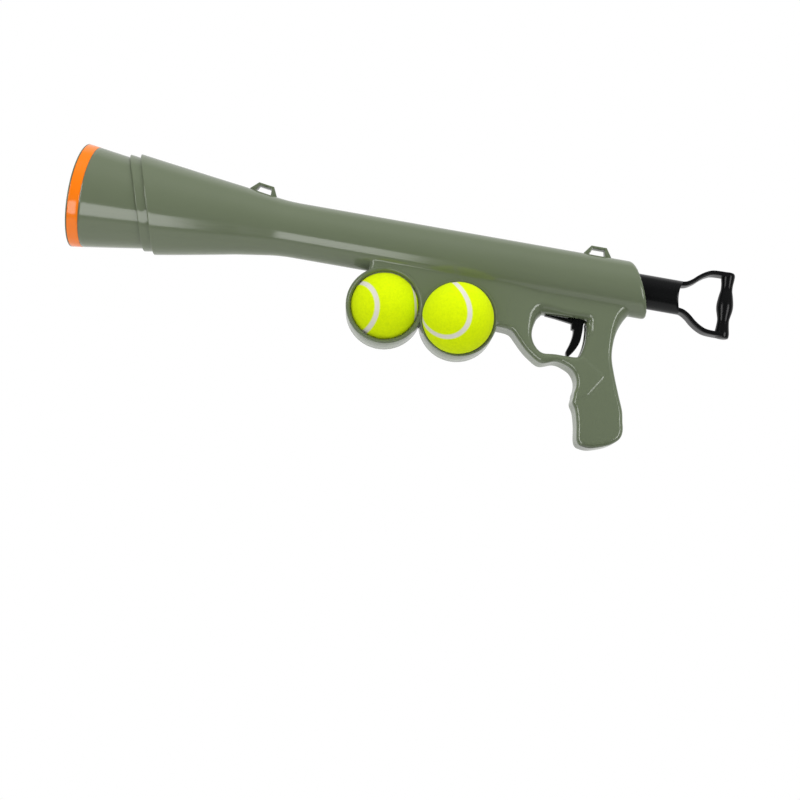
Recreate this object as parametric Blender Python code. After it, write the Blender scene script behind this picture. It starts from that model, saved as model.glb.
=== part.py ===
# Hand-cocked ball launcher: a two-shell barrel with a flared muzzle, a spring plunger pulled
# back by a D-handle, a trigger and sear, and two side rings that carry spare balls.
# Metres, +Z up. The barrel runs along X, the muzzle is at -X, and the origin is the middle of
# the grip's flat base.

import math

import bmesh
import bpy
import numpy as np
from mathutils import Vector

# Fits shared by all pieces
GAP = 0.0003
OVERRUN = 0.004
WALL = 0.0024

# Muzzle and barrel
MUZZLE_RADIUS = 0.0466
CONE_SLOPE_SHARE = 0.140
CONE_LENGTH = 0.078
CONE_WALL = 0.0022
BELL_DROOP = 0.0025
DROOP_LENGTH = 0.146
COLLAR_HEIGHT = 0.0026
STEP_X = 0.0510
STEP_PITCH = 0.0095
STEP_LEAN_SHARE = 0.327
STEP_BOW = 0.0045
THROAT_X = 0.186
THROAT_EASE = 0.024
BARREL_RADIUS = 0.0247
BARREL_LENGTH = 0.510
REAR_LEAN_SHARE = 0.42
REAR_EDGE = 0.002
BAND_START = 0.0012
BAND_WIDTH = 0.0088
BAND_THICK = 0.0008

# Web, ball rings and grip
WEB_HALF = 0.015
WEB_LEAD = 0.0183
WEB_FRONT_DEPTH = 0.0148
WEB_ROUND = 0.005
RING_BRIDGE = 0.0011
RING_BITE = 0.003
RING_WALL = 0.0015
RING_HALF = 0.017
RING_EDGE = 0.001
LIP_REACH = 0.0015
LIP_INSET = 0.0035
BALL_RADIUS = 0.0325
BALL_SLACK = 0.0005
HAND_LENGTH = 0.100
PIN_INSET = 0.046
HOLE_EDGE = 0.0035

# Sling loops
LOOP_HALF = 0.0045
LOOP_LENGTH = 0.0250
LOOP_TOP = 0.0140
LOOP_HEIGHT = 0.0081
LOOP_LEAN = 0.0004
LOOP_SINK = 0.0020
FRONT_LOOP_X = 0.1620
REAR_LOOP_INSET = 0.0422

# Plunger and pull tube
LINER_WALL = 0.0016
BALL_STOP_X = 0.1105
FUNNEL_X = 0.128
FUNNEL_CLEAR = 0.00051
LINER_X = 0.146
BUMPER_X = 0.143
BUMPER_THICK = 0.004
HEAD_LENGTH = 0.016
HEAD_SKIRT = 0.009
HEAD_WALL = 0.002
ROD_RADIUS = 0.004
ROD_TAIL = 0.0012
ROD_HOLE_RADIUS = 0.001
SEAT_LEAD = 0.164
SEAT_THICK = 0.005
SEAT_RIB = 0.002
BUFFER_THICK = 0.0035
PLUG_FLANGE = 0.0035
PLUG_LENGTH = 0.022
NUT_LENGTH = 0.005
NUT_RADIUS = 0.0065
TUBE_WALL = 0.002
TUBE_REACH = 0.030
STROKE = 0.100
BUSHING_LENGTH = 0.012
BUSHING_INSET = 0.026
BUSHING_WALL = 0.0064
SPRING_INSET = 0.0066
SPRING_WIRE = 0.0011
SPRING_TURNS = 14

# D-handle
COLLAR_LENGTH = 0.006
SPIGOT_LENGTH = 0.020
HANDLE_REACH = 0.042
STRAP_REACH = 0.045
HANDLE_HALF_HEIGHT = 0.0296
STRAP_THICK = 0.0042
STRAP_HALF = 0.0072
STRAP_EDGE = 0.0008
BAR_RADIUS = 0.0064
BAR_SWELL = 0.0013

# Trigger and sear
LEVER_HALF = 0.004
TRIGGER_EDGE = 0.001
PIN_RADIUS = 0.0015
PIN_HALF = 0.0115
BOSS_RADIUS = 0.0036
BOSS_CLEAR = 0.001
NOSE_LEAD = 0.0235
NOSE_LENGTH = 0.0045
NOSE_FOOT = 0.0068
SEAR_PIN_LEAD = 0.006
SEAR_TAIL = 0.012
SEAR_SINK = 0.0022
SEAR_HEIGHT = 0.0054
SLOT_LENGTH = 0.010
SLOT_HALF = 0.0050
SMALL_SPRING_RADIUS = 0.0024
SMALL_SPRING_WIRE = 0.0004
SMALL_SPRING_TURNS = 5
SEAR_SPRING_LEAD = 0.0175

# Screws
SCREW_RADIUS = 0.0015
SCREW_HEAD_RADIUS = 0.0030
SCREW_HEAD_HEIGHT = 0.0022
SCREW_BOSS_RADIUS = 0.0040
SCREW_SEAT_Y = 0.0095
SCREW_TIP_Y = 0.0095
RING_SCREW_LEAD = 0.00015
RING_SCREW_DEPTH = 0.0058

# Facets
TURN_SIDES = 36
INNER_SIDES = 28
SMALL_SIDES = 12
BAR_SIDES = 20
NUT_SIDES = 6
WIRE_SIDES = 5
SMALL_WIRE_SIDES = 4
TURN_STEPS = 8
BALL_RINGS = 12
BALL_SIDES = 24
EDGE_STEPS = 2

# Outlines of the hand parts: shares of HAND_LENGTH, along the launcher from the trigger pin and
# down from the barrel's underside.
UNDER_SHARES = [(-0.763, 0.325), (-0.635, 0.337), (-0.567, 0.395), (-0.507, 0.457),
                (-0.432, 0.520), (-0.320, 0.580), (-0.200, 0.545), (-0.120, 0.555),
                (-0.039, 0.593), (0.008, 0.657), (0.021, 0.728), (0.012, 0.790),
                (0.012, 0.830), (0.010, 0.881), (0.046, 0.948), (0.076, 1.065),
                (0.094, 1.188), (0.118, 1.236), (0.160, 1.252), (0.240, 1.252),
                (0.380, 1.202), (0.466, 1.137), (0.490, 1.062), (0.475, 0.969),
                (0.457, 0.877), (0.404, 0.741), (0.343, 0.579), (0.298, 0.434),
                (0.290, 0.311), (0.307, 0.190), (0.352, 0.074), (0.406, -0.018)]
HOLE_SHARES = [(-0.340, 0.118), (0.000, 0.118), (0.028, 0.150), (0.041, 0.230),
               (0.041, 0.330), (0.020, 0.430), (-0.020, 0.475), (-0.200, 0.478),
               (-0.320, 0.486), (-0.390, 0.440), (-0.432, 0.370), (-0.440, 0.290),
               (-0.415, 0.190), (-0.380, 0.140)]
GRIP_CAVITY_SHARES = [(0.070, 0.093), (0.262, 0.093), (0.264, 0.311), (0.272, 0.440),
                      (0.316, 0.587), (0.378, 0.750), (0.430, 0.886), (0.448, 0.972),
                      (0.460, 1.050), (0.436, 1.118), (0.362, 1.176), (0.240, 1.222),
                      (0.150, 1.213), (0.122, 1.182), (0.102, 1.060), (0.073, 0.940),
                      (0.038, 0.876), (0.040, 0.812), (0.050, 0.728), (0.036, 0.652),
                      (0.026, 0.600), (0.050, 0.440), (0.068, 0.330)]
WEB_CAVITY_SHARES = [(-0.690, 0.045), (-0.385, 0.045), (-0.450, 0.160), (-0.470, 0.300),
                     (-0.462, 0.400), (-0.500, 0.425), (-0.590, 0.340), (-0.690, 0.300)]
TRIGGER_SHARES = [(-0.042, 0.045), (-0.030, 0.010), (0.000, 0.003), (0.070, 0.040),
                  (0.040, 0.090), (0.030, 0.130), (0.030, 0.223), (0.016, 0.270),
                  (-0.004, 0.348), (-0.052, 0.437), (-0.078, 0.449), (-0.096, 0.428),
                  (-0.086, 0.363), (-0.067, 0.274), (-0.075, 0.214), (-0.095, 0.194),
                  (-0.095, 0.138), (-0.060, 0.090)]
ARM_ROW = 3
TRIGGER_SLOT_SHARES = (-0.130, 0.070)
GRIP_SLOT_SHARES = (0.070, 0.475)
GRIP_SLOT_REACH_SHARES = (-0.020, 0.100)
LEVER_CAVITY_SHARE = 0.260
SPRING_RIB_SHARE = 0.155
SPRING_DROP_SHARE = 0.183
PIN_DROP_SHARE = 0.043
RING_LEAD_SHARE = 1.106
SCREW_SHARES = [(-0.640, 0.190), (0.225, 0.270), (0.230, 0.720), (0.290, 1.060)]
BASE_SHARES = (0.160, 0.240)
LOOP_HOLE_SHARES = [(-0.30, -0.05), (-0.21, 0.71), (0.215, 0.71), (0.28, -0.05)]
STRAP_SHARES = [(-0.02, 0.37), (0.05, 0.40), (0.18, 0.44), (0.30, 0.55), (0.42, 0.71),
                (0.55, 0.84), (0.70, 0.92), (1.00, 0.935)]
SWELL_SHARES = [(-1.00, 0.40), (-0.93, 1.00), (-0.55, -0.60), (-0.30, 0.70), (0.00, 1.00),
                (0.30, 0.70), (0.55, -0.60), (0.93, 1.00), (1.00, 0.40)]

# Places worked out from the sizes
PIN_X = BARREL_LENGTH - PIN_INSET
BASE_DROP = BARREL_RADIUS + HAND_LENGTH * max(down for _, down in UNDER_SHARES)
BASE_X = PIN_X + HAND_LENGTH * (BASE_SHARES[0] + BASE_SHARES[1]) / 2
BORE_RADIUS = BARREL_RADIUS - WALL
LINER_RADIUS = BORE_RADIUS - GAP
LINER_BORE = LINER_RADIUS - LINER_WALL
HEAD_RADIUS = LINER_BORE - GAP
SPRING_RADIUS = HEAD_RADIUS - SPRING_INSET
TUBE_RADIUS = LINER_RADIUS - BUSHING_WALL - GAP
TUBE_BORE = TUBE_RADIUS - TUBE_WALL
HEAD_X = BUMPER_X + BUMPER_THICK + GAP
SEAT_X = PIN_X - SEAT_LEAD
BUFFER_X = SEAT_X + SEAT_THICK + GAP
PLUG_X = BUFFER_X + BUFFER_THICK + GAP
TUBE_X = PLUG_X + PLUG_FLANGE + GAP
TUBE_END_X = BARREL_LENGTH + TUBE_REACH
BUSHING_X = BARREL_LENGTH - BUSHING_INSET
NUT_X = PLUG_X + PLUG_LENGTH + GAP
RING_BORE = BALL_RADIUS + BALL_SLACK
RING_RADIUS = RING_BORE + RING_WALL
RING_DROP = BARREL_RADIUS + RING_RADIUS - RING_BITE
RING_PITCH = 2 * RING_BORE + RING_BRIDGE
RING_2_X = PIN_X - HAND_LENGTH * RING_LEAD_SHARE
RING_1_X = RING_2_X - RING_PITCH
RING_SCREW_X = (RING_1_X + RING_2_X) / 2 - RING_SCREW_LEAD
LIP_RADIUS = BALL_RADIUS - LIP_REACH
WEB_START_X = RING_1_X - WEB_LEAD
WEB_FRONT_DROP = BARREL_RADIUS + WEB_FRONT_DEPTH
REAR_LOOP_X = BARREL_LENGTH - REAR_LOOP_INSET
NOSE_X = PIN_X - NOSE_LEAD
SEAR_PIN_X = PIN_X - SEAR_PIN_LEAD
SEAR_END_X = PIN_X + SEAR_TAIL
SEAR_SPRING_X = PIN_X - SEAR_SPRING_LEAD
SEAR_TOP = -(TUBE_RADIUS + SEAR_SINK)
SEAR_BOTTOM = SEAR_TOP - SEAR_HEIGHT
SEAR_PIN_Z = (SEAR_TOP + SEAR_BOTTOM) / 2
PIN_Z = -(BARREL_RADIUS + HAND_LENGTH * PIN_DROP_SHARE)
TRIGGER_SPRING_Z = -(BARREL_RADIUS + HAND_LENGTH * SPRING_DROP_SHARE)
COLLAR_X = TUBE_END_X + GAP
STRAP_X = COLLAR_X + COLLAR_LENGTH
BAR_X = STRAP_X + HANDLE_REACH
BUMP_CLEAR = math.sqrt(BALL_RADIUS ** 2 - (LIP_RADIUS - GAP) ** 2)
LIP_Y = -(RING_HALF - LIP_INSET)
BALL_1_Y = LIP_Y + BUMP_CLEAR
BALL_2_Y = LIP_Y - BUMP_CLEAR


def material(name, colour, roughness, metallic=0.0):
    """A plain finish with the piece's colour."""
    made = bpy.data.materials.new(name)
    made.use_nodes = True
    shader = made.node_tree.nodes["Principled BSDF"]
    shader.inputs["Base Color"].default_value = (*colour, 1.0)
    shader.inputs["Roughness"].default_value = roughness
    shader.inputs["Metallic"].default_value = metallic
    made.diffuse_color = (*colour, 1.0)
    return made


def clear_scene():
    for item in list(bpy.data.objects):
        bpy.data.objects.remove(item, do_unlink=True)


clear_scene()
GREEN = material("green_shell", (0.19, 0.23, 0.13), 0.3)
ORANGE = material("orange_band", (0.95, 0.22, 0.02), 0.4)
BLACK = material("black_plastic", (0.02, 0.02, 0.022), 0.35)
WHITE = material("pale_liner", (0.55, 0.57, 0.52), 0.4)
RUBBER = material("black_rubber", (0.03, 0.03, 0.03), 0.8)
STEEL = material("steel", (0.6, 0.6, 0.62), 0.3, 1.0)
FELT = material("felt", (0.62, 0.85, 0.03), 0.95)


def droop(x):
    """How far the bell's centre hangs below the barrel's line at x."""
    return -BELL_DROOP * np.clip(1 - (x / DROOP_LENGTH) ** 2, 0, 1)


def piece(name, points, faces, finish, origin=(0, 0, 0), turned=True):
    """A mesh object from launcher coordinates (x from the muzzle, z from the barrel's line).

    Its own origin is the given launcher point, which is on the joint's axis if it moves."""
    shift = Vector((-BASE_X, 0, BASE_DROP))
    centre = Vector(origin)
    mesh = bpy.data.meshes.new(name)
    mesh.from_pydata([Vector(p) - centre for p in points], [], faces)
    bm = bmesh.new()
    bm.from_mesh(mesh)
    bmesh.ops.recalc_face_normals(bm, faces=bm.faces)
    bm.to_mesh(mesh)
    bm.free()
    made = bpy.data.objects.new(name, mesh)
    made.location = centre + shift
    if finish is not None:
        mesh.materials.append(finish)
    if turned:
        mesh.shade_smooth()
        mesh.set_sharp_from_angle(angle=math.radians(35))
    bpy.context.scene.collection.objects.link(made)
    return made


def skin(name, rings, finish, closed=False, origin=(0, 0, 0), turned=True):
    """Rings of equal point counts joined in order; open ends are capped, closed ones meet."""
    rings = np.asarray(rings, float)
    count, sides = rings.shape[:2]
    faces = []
    for i in range(count if closed else count - 1):
        j = (i + 1) % count
        for k in range(sides):
            m = (k + 1) % sides
            faces.append((i * sides + k, i * sides + m, j * sides + m, j * sides + k))
    if not closed:
        faces.append(tuple(range(sides)))
        faces.append(tuple((count - 1) * sides + k for k in reversed(range(sides))))
    return piece(name, rings.reshape(-1, 3), faces, finish, origin, turned)


def lathe(name, profile, finish, axis="X", at=(0, 0, 0), closed=False, sides=TURN_SIDES,
          sag=False, origin=None):
    """A profile of (along, radius) turned about an axis through the launcher point at."""
    angles = np.arange(sides) * 2 * math.pi / sides
    rings = []
    for along, radius in profile:
        ring = np.zeros((sides, 3))
        if axis == "X":
            ring[:, 0] = along
            ring[:, 1] = radius * np.cos(angles)
            ring[:, 2] = radius * np.sin(angles) + (droop(along) if sag else 0)
        elif axis == "Y":
            ring[:, 0] = radius * np.cos(angles)
            ring[:, 1] = along
            ring[:, 2] = radius * np.sin(angles)
        else:
            ring[:, 0] = radius * np.cos(angles)
            ring[:, 1] = radius * np.sin(angles)
            ring[:, 2] = along
        rings.append(ring + np.array(at, float))
    return skin(name, rings, finish, closed, at if origin is None else origin)


def inset(outline, distance):
    """A closed outline moved inwards by a distance, corner by corner."""
    points = np.asarray(outline, float)
    before = points - np.roll(points, 1, axis=0)
    after = np.roll(points, -1, axis=0) - points
    area = np.sum(points[:, 0] * np.roll(points[:, 1], -1)
                  - np.roll(points[:, 0], -1) * points[:, 1])
    turn = math.copysign(1, area)
    normals = []
    for edge in (before, after):
        length = np.linalg.norm(edge, axis=1, keepdims=True)
        normals.append(turn * np.stack([-edge[:, 1], edge[:, 0]], axis=1) / length)
    middle = normals[0] + normals[1]
    scale = 2 / np.maximum(np.sum(middle * middle, axis=1, keepdims=True), 1)
    return points + middle * scale * distance


def slab(name, outline, low, high, finish, edge=0.0, origin=(0, 0, 0), flare=False):
    """An outline in x and z made solid from y low to y high, its edges rounded by edge.

    With flare the rounded ends open outwards, as the cutter of a hole with rounded rims."""
    rings = []

    def ring(y, move):
        flat = inset(outline, -move if flare else move)
        rings.append(np.stack([flat[:, 0], np.full(len(flat), y), flat[:, 1]], axis=1))

    if edge == 0:
        ring(low, 0)
        ring(high, 0)
    else:
        steps = [math.pi / 2 * i / EDGE_STEPS for i in range(EDGE_STEPS + 1)]
        for angle in steps:
            move = edge * (1 - math.sin(angle))
            depth = edge * (1 - math.cos(angle))
            ring(low + depth, move)
        for angle in reversed(steps):
            move = edge * (1 - math.sin(angle))
            depth = edge * (1 - math.cos(angle))
            ring(high - depth, move)
    return skin(name, rings, finish, False, origin, turned=edge > 0)


def block(name, x, y, z, finish=None):
    """A box from pairs of limits."""
    outline = [(x[0], z[0]), (x[1], z[0]), (x[1], z[1]), (x[0], z[1])]
    return slab(name, outline, y[0], y[1], finish)


def combine(target, others, operation):
    """Joins or cuts a solid with others, applies the result and removes the others."""
    for other in others:
        other.hide_render = True
        other.display_type = "WIRE"
        change = target.modifiers.new("shape", "BOOLEAN")
        change.operation = operation
        change.solver = "EXACT"
        change.object = other
    bpy.context.view_layer.update()
    view = bpy.context.evaluated_depsgraph_get()
    shaped = bpy.data.meshes.new_from_object(target.evaluated_get(view))
    target.modifiers.clear()
    target.data = shaped
    for other in others:
        bpy.data.objects.remove(other, do_unlink=True)
    return target


def hand(shares):
    """Launcher points of an outline of the hand parts."""
    return [(PIN_X + HAND_LENGTH * u, -(BARREL_RADIUS + HAND_LENGTH * w)) for u, w in shares]


def screw_places():
    """Where the body's screws cross: one between the ball rings, the rest round the hand parts."""
    return [(RING_SCREW_X, -(BARREL_RADIUS + RING_SCREW_DEPTH))] + hand(SCREW_SHARES)


def cone_radius(x):
    """The muzzle cone's outer radius."""
    return MUZZLE_RADIUS - CONE_SLOPE_SHARE * x


def bell_radius(x):
    """The shells' outer radius: a straight cone behind the collars, eased into the barrel."""
    start = STEP_X + STEP_PITCH
    top = cone_radius(start) + 2 * COLLAR_HEIGHT
    slope = (top - BARREL_RADIUS) / (THROAT_X - start)
    left = np.maximum(THROAT_X + THROAT_EASE / 2 - x, 0)
    eased = np.minimum(left, THROAT_EASE) ** 2 / (2 * THROAT_EASE)
    return BARREL_RADIUS + slope * (eased + np.maximum(left - THROAT_EASE, 0))


def step_line(z, pitch):
    """Where a collar's edge lies at height z: leaning back downwards and bowed."""
    rise = z / MUZZLE_RADIUS
    return STEP_X + pitch - STEP_LEAN_SHARE * z + STEP_BOW * (1 - rise * rise)


def body_tube():
    """The shells' round wall before it is parted: collars, bell, barrel and slanted end."""
    angles = np.arange(TURN_SIDES) * 2 * math.pi / TURN_SIDES
    up = np.sin(angles)
    rings = []

    def ring(x, radius):
        x = np.broadcast_to(x, up.shape)
        rings.append(np.stack([x, radius * np.cos(angles), radius * up + droop(x)], axis=1))

    edge_1 = step_line(up * cone_radius(STEP_X), 0)
    edge_2 = step_line(up * cone_radius(STEP_X), STEP_PITCH)
    ring(edge_1, cone_radius(edge_1) + COLLAR_HEIGHT)
    ring(edge_2, cone_radius(edge_2) + COLLAR_HEIGHT)
    ring(edge_2, bell_radius(edge_2))
    ease_start = THROAT_X - THROAT_EASE / 2
    ease_end = THROAT_X + THROAT_EASE / 2
    for x in ((edge_2 + ease_start) / 2, ease_start, THROAT_X, ease_end):
        ring(x, bell_radius(x))
    for inward, radius in ((REAR_EDGE, BARREL_RADIUS), (0, BARREL_RADIUS - REAR_EDGE),
                           (0, BORE_RADIUS)):
        ring(BARREL_LENGTH - inward - REAR_LEAN_SHARE * radius * up, radius)
    for x in (ease_end, THROAT_X, ease_start, FUNNEL_X):
        ring(x, bell_radius(x) - WALL)
    ring(BALL_STOP_X, RING_BORE)
    ring(CONE_LENGTH, cone_radius(CONE_LENGTH) - CONE_WALL + GAP)
    ring(CONE_LENGTH, cone_radius(CONE_LENGTH) + GAP)
    ring(edge_1, cone_radius(edge_1) + GAP)
    return skin("body", rings, GREEN, closed=True)


def loop_plate(name, x, base):
    """A trapezoid sling loop standing on the barrel's top seam, square to the slope there."""
    half = LOOP_LENGTH / 2
    front, rear = base(x - half), base(x + half)
    lean = LOOP_LEAN + LOOP_HEIGHT * (front - rear) / LOOP_LENGTH
    outline = [(x - half, front - LOOP_SINK), (x + half, rear - LOOP_SINK), (x + half, rear)]
    for top in (x + lean + LOOP_TOP / 2, x + lean - LOOP_TOP / 2):
        outline.append((top, base(top) + LOOP_HEIGHT))
    outline.append((x - half, front))
    plate = slab(name, outline, -LOOP_HALF, LOOP_HALF, GREEN)
    hole = [(x + lean * w + LOOP_LENGTH * u, base(x + LOOP_LENGTH * u) + LOOP_HEIGHT * w)
            for u, w in LOOP_HOLE_SHARES]
    cutter = slab(name + "_hole", hole, -LOOP_HALF - OVERRUN, LOOP_HALF + OVERRUN, None)
    return combine(plate, [cutter], "DIFFERENCE")


def ring_turn(name, x, profile):
    """A turned shape about a ball ring's own line, which runs across the launcher."""
    return lathe(name, profile, GREEN, "Y", (x, 0, -RING_DROP), origin=(0, 0, 0))


def body():
    """Both shells as one: tube wall, web, guard, grip, rings and loops, hollowed inside."""
    whole = body_tube()
    under = hand(UNDER_SHARES)
    outline = [(WEB_START_X, -BORE_RADIUS / 2), (WEB_START_X, -WEB_FRONT_DROP),
               (RING_1_X, -RING_DROP), (RING_2_X, -RING_DROP)] + under
    outline.append((outline[-1][0], -BORE_RADIUS / 2))
    added = [slab("web", outline, -WEB_HALF, WEB_HALF, GREEN, WEB_ROUND)]
    for x in (RING_1_X, RING_2_X):
        added.append(ring_turn("ring", x, [
            (-RING_HALF, RING_RADIUS - RING_EDGE), (RING_EDGE - RING_HALF, RING_RADIUS),
            (RING_HALF - RING_EDGE, RING_RADIUS), (RING_HALF, RING_RADIUS - RING_EDGE)]))
    added.append(loop_plate("front_loop", FRONT_LOOP_X, lambda x: float(bell_radius(x))))
    added.append(loop_plate("rear_loop", REAR_LOOP_X, lambda x: BARREL_RADIUS))
    combine(whole, added, "UNION")

    reach = RING_HALF + OVERRUN
    cut = [lathe("bore", [(WEB_START_X - WALL, BORE_RADIUS),
                          (BARREL_LENGTH + REAR_LEAN_SHARE * BARREL_RADIUS + OVERRUN, BORE_RADIUS)],
                 None)]
    for x in (RING_1_X, RING_2_X):
        cut.append(ring_turn("ring_bore", x, [
            (-reach, RING_BORE + OVERRUN), (-RING_HALF, RING_BORE), (LIP_Y, LIP_RADIUS),
            (LIP_Y + RING_EDGE, LIP_RADIUS), (LIP_Y + 2 * RING_EDGE, RING_BORE),
            (reach, RING_BORE)]))
    inner = WEB_HALF - WALL
    cut.append(slab("guard_hole", hand(HOLE_SHARES), -WEB_HALF, WEB_HALF, None, HOLE_EDGE,
                    flare=True))
    cut.append(slab("grip_cavity", hand(GRIP_CAVITY_SHARES), -inner, inner, None))
    cut.append(slab("web_cavity", hand(WEB_CAVITY_SHARES), -inner, inner, None))
    ceiling = -(BARREL_RADIUS + HAND_LENGTH * GRIP_CAVITY_SHARES[0][1])
    cut.append(block("lever_cavity", (NOSE_X - 2 * NOSE_LENGTH, PIN_X + HAND_LENGTH * LEVER_CAVITY_SHARE),
                     (-inner, inner), (ceiling, -TUBE_RADIUS / 2)))
    slot = LEVER_HALF + 2 * GAP
    front, rear = (PIN_X + HAND_LENGTH * u for u in TRIGGER_SLOT_SHARES)
    cut.append(block("trigger_slot", (front, rear), (-slot, slot),
                     (ceiling - OVERRUN, ceiling + OVERRUN)))
    top, low = (-(BARREL_RADIUS + HAND_LENGTH * w) for w in GRIP_SLOT_SHARES)
    front, rear = (PIN_X + HAND_LENGTH * u for u in GRIP_SLOT_REACH_SHARES)
    cut.append(block("grip_slot", (front, rear), (-slot, slot), (low, top)))
    combine(whole, cut, "DIFFERENCE")

    bosses = []
    for x, z in ((PIN_X, PIN_Z), (SEAR_PIN_X, SEAR_PIN_Z)):
        for side in (-1, 1):
            ends = sorted((side * (inner + WALL / 2), side * (LEVER_HALF + BOSS_CLEAR)))
            bosses.append(lathe("boss", [(ends[0], BOSS_RADIUS), (ends[1], BOSS_RADIUS)], GREEN,
                                "Y", (x, 0, z), sides=SMALL_SIDES))
    for x, z in hand(SCREW_SHARES):
        bosses.append(lathe("boss", [(-inner - WALL / 2, SCREW_BOSS_RADIUS),
                                     (inner + WALL / 2, SCREW_BOSS_RADIUS)], GREEN, "Y",
                            (x, 0, z), sides=SMALL_SIDES))
    rib_x = PIN_X + HAND_LENGTH * SPRING_RIB_SHARE
    bosses.append(block("spring_rib", (rib_x, rib_x + WALL), (-inner - WALL / 2, inner + WALL / 2),
                        (TRIGGER_SPRING_Z - 2 * SMALL_SPRING_RADIUS,
                         TRIGGER_SPRING_Z + 2 * SMALL_SPRING_RADIUS), GREEN))
    combine(whole, bosses, "UNION")
    for x in (BUFFER_X, BUSHING_X - GAP - SEAT_RIB):
        outer = BORE_RADIUS + WALL / 2
        inner_edge = TUBE_RADIUS + WALL
        rib = lathe("rib", [(x, outer), (x + SEAT_RIB, outer), (x + SEAT_RIB, inner_edge),
                            (x, inner_edge)], GREEN, closed=True, sides=INNER_SIDES)
        combine(whole, [rib], "UNION")

    holes = []
    for x, z in ((PIN_X, PIN_Z), (SEAR_PIN_X, SEAR_PIN_Z)):
        radius = PIN_RADIUS + GAP
        holes.append(lathe("pin_hole", [(-PIN_HALF - GAP, radius), (PIN_HALF + GAP, radius)], None,
                           "Y", (x, 0, z), sides=SMALL_SIDES))
    for x, z in screw_places():
        holes.append(lathe("screw_hole", [
            (-SCREW_TIP_Y - GAP, SCREW_RADIUS + GAP), (SCREW_SEAT_Y - GAP, SCREW_RADIUS + GAP),
            (SCREW_SEAT_Y - GAP, SCREW_HEAD_RADIUS + GAP),
            (RING_HALF + OVERRUN, SCREW_HEAD_RADIUS + GAP)], None, "Y", (x, 0, z),
            sides=SMALL_SIDES))
    return combine(whole, holes, "DIFFERENCE")


def shells():
    """The body parted at its middle into two half shells, with a hairline between them."""
    whole = body()
    far = RING_HALF + MUZZLE_RADIUS
    for name, low, high in (("left_shell", -far, -GAP / 2), ("right_shell", GAP / 2, far)):
        half = whole.copy()
        half.data = whole.data.copy()
        half.name = name
        half.data.name = name
        bpy.context.scene.collection.objects.link(half)
        room = block("room", (-OVERRUN, BARREL_LENGTH + BARREL_RADIUS), (low, high),
                     (-BASE_DROP - OVERRUN, MUZZLE_RADIUS + LOOP_HEIGHT))
        combine(half, [room], "INTERSECT")
    bpy.data.objects.remove(whole, do_unlink=True)


def muzzle_pieces():
    """The plain muzzle cone with its rim, and the orange band let into it."""
    end = CONE_LENGTH - GAP
    groove = BAND_START + BAND_WIDTH + 2 * GAP
    lathe("muzzle_cone", [
        (0, cone_radius(0)), (BAND_START, cone_radius(BAND_START)),
        (BAND_START, cone_radius(BAND_START) - BAND_THICK),
        (groove, cone_radius(groove) - BAND_THICK), (groove, cone_radius(groove)),
        (STEP_X, cone_radius(STEP_X)), (end, cone_radius(end)),
        (end, cone_radius(end) - CONE_WALL), (STEP_X, cone_radius(STEP_X) - CONE_WALL),
        (0, cone_radius(0) - CONE_WALL)], GREEN, closed=True, sag=True, origin=(0, 0, 0))
    start = BAND_START + GAP
    stop = start + BAND_WIDTH
    inner = BAND_THICK - GAP
    lathe("muzzle_band", [
        (start, cone_radius(start)), (stop, cone_radius(stop)),
        (stop, cone_radius(stop) - inner), (start, cone_radius(start) - inner)],
        ORANGE, closed=True, sag=True, origin=(0, 0, 0))


def barrel_inside():
    """The liner with its funnel mouth, the spring seat, its buffer and the rear bushing."""
    end = SEAT_X - GAP
    mouth = bell_radius(FUNNEL_X) - WALL - FUNNEL_CLEAR
    lathe("barrel_liner", [
        (FUNNEL_X, mouth), (LINER_X, LINER_RADIUS), (end, LINER_RADIUS),
        (end, LINER_BORE), (LINER_X, LINER_BORE), (FUNNEL_X, mouth - LINER_WALL)],
        WHITE, closed=True, sides=INNER_SIDES, sag=True, origin=(0, 0, 0))
    hole = ROD_RADIUS + GAP
    lathe("spring_seat", [
        (SEAT_X, LINER_RADIUS), (SEAT_X + SEAT_THICK, LINER_RADIUS),
        (SEAT_X + SEAT_THICK, hole), (SEAT_X, hole)], BLACK, closed=True, sides=INNER_SIDES)
    outer = TUBE_RADIUS - GAP
    lathe("buffer_ring", [
        (BUFFER_X, outer), (BUFFER_X + BUFFER_THICK, outer),
        (BUFFER_X + BUFFER_THICK, hole), (BUFFER_X, hole)], RUBBER, closed=True,
        sides=INNER_SIDES)
    lathe("rear_bushing", [
        (BUSHING_X, LINER_RADIUS), (BUSHING_X + BUSHING_LENGTH, LINER_RADIUS),
        (BUSHING_X + BUSHING_LENGTH, TUBE_RADIUS + GAP), (BUSHING_X, TUBE_RADIUS + GAP)],
        BLACK, closed=True, sides=INNER_SIDES)


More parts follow.
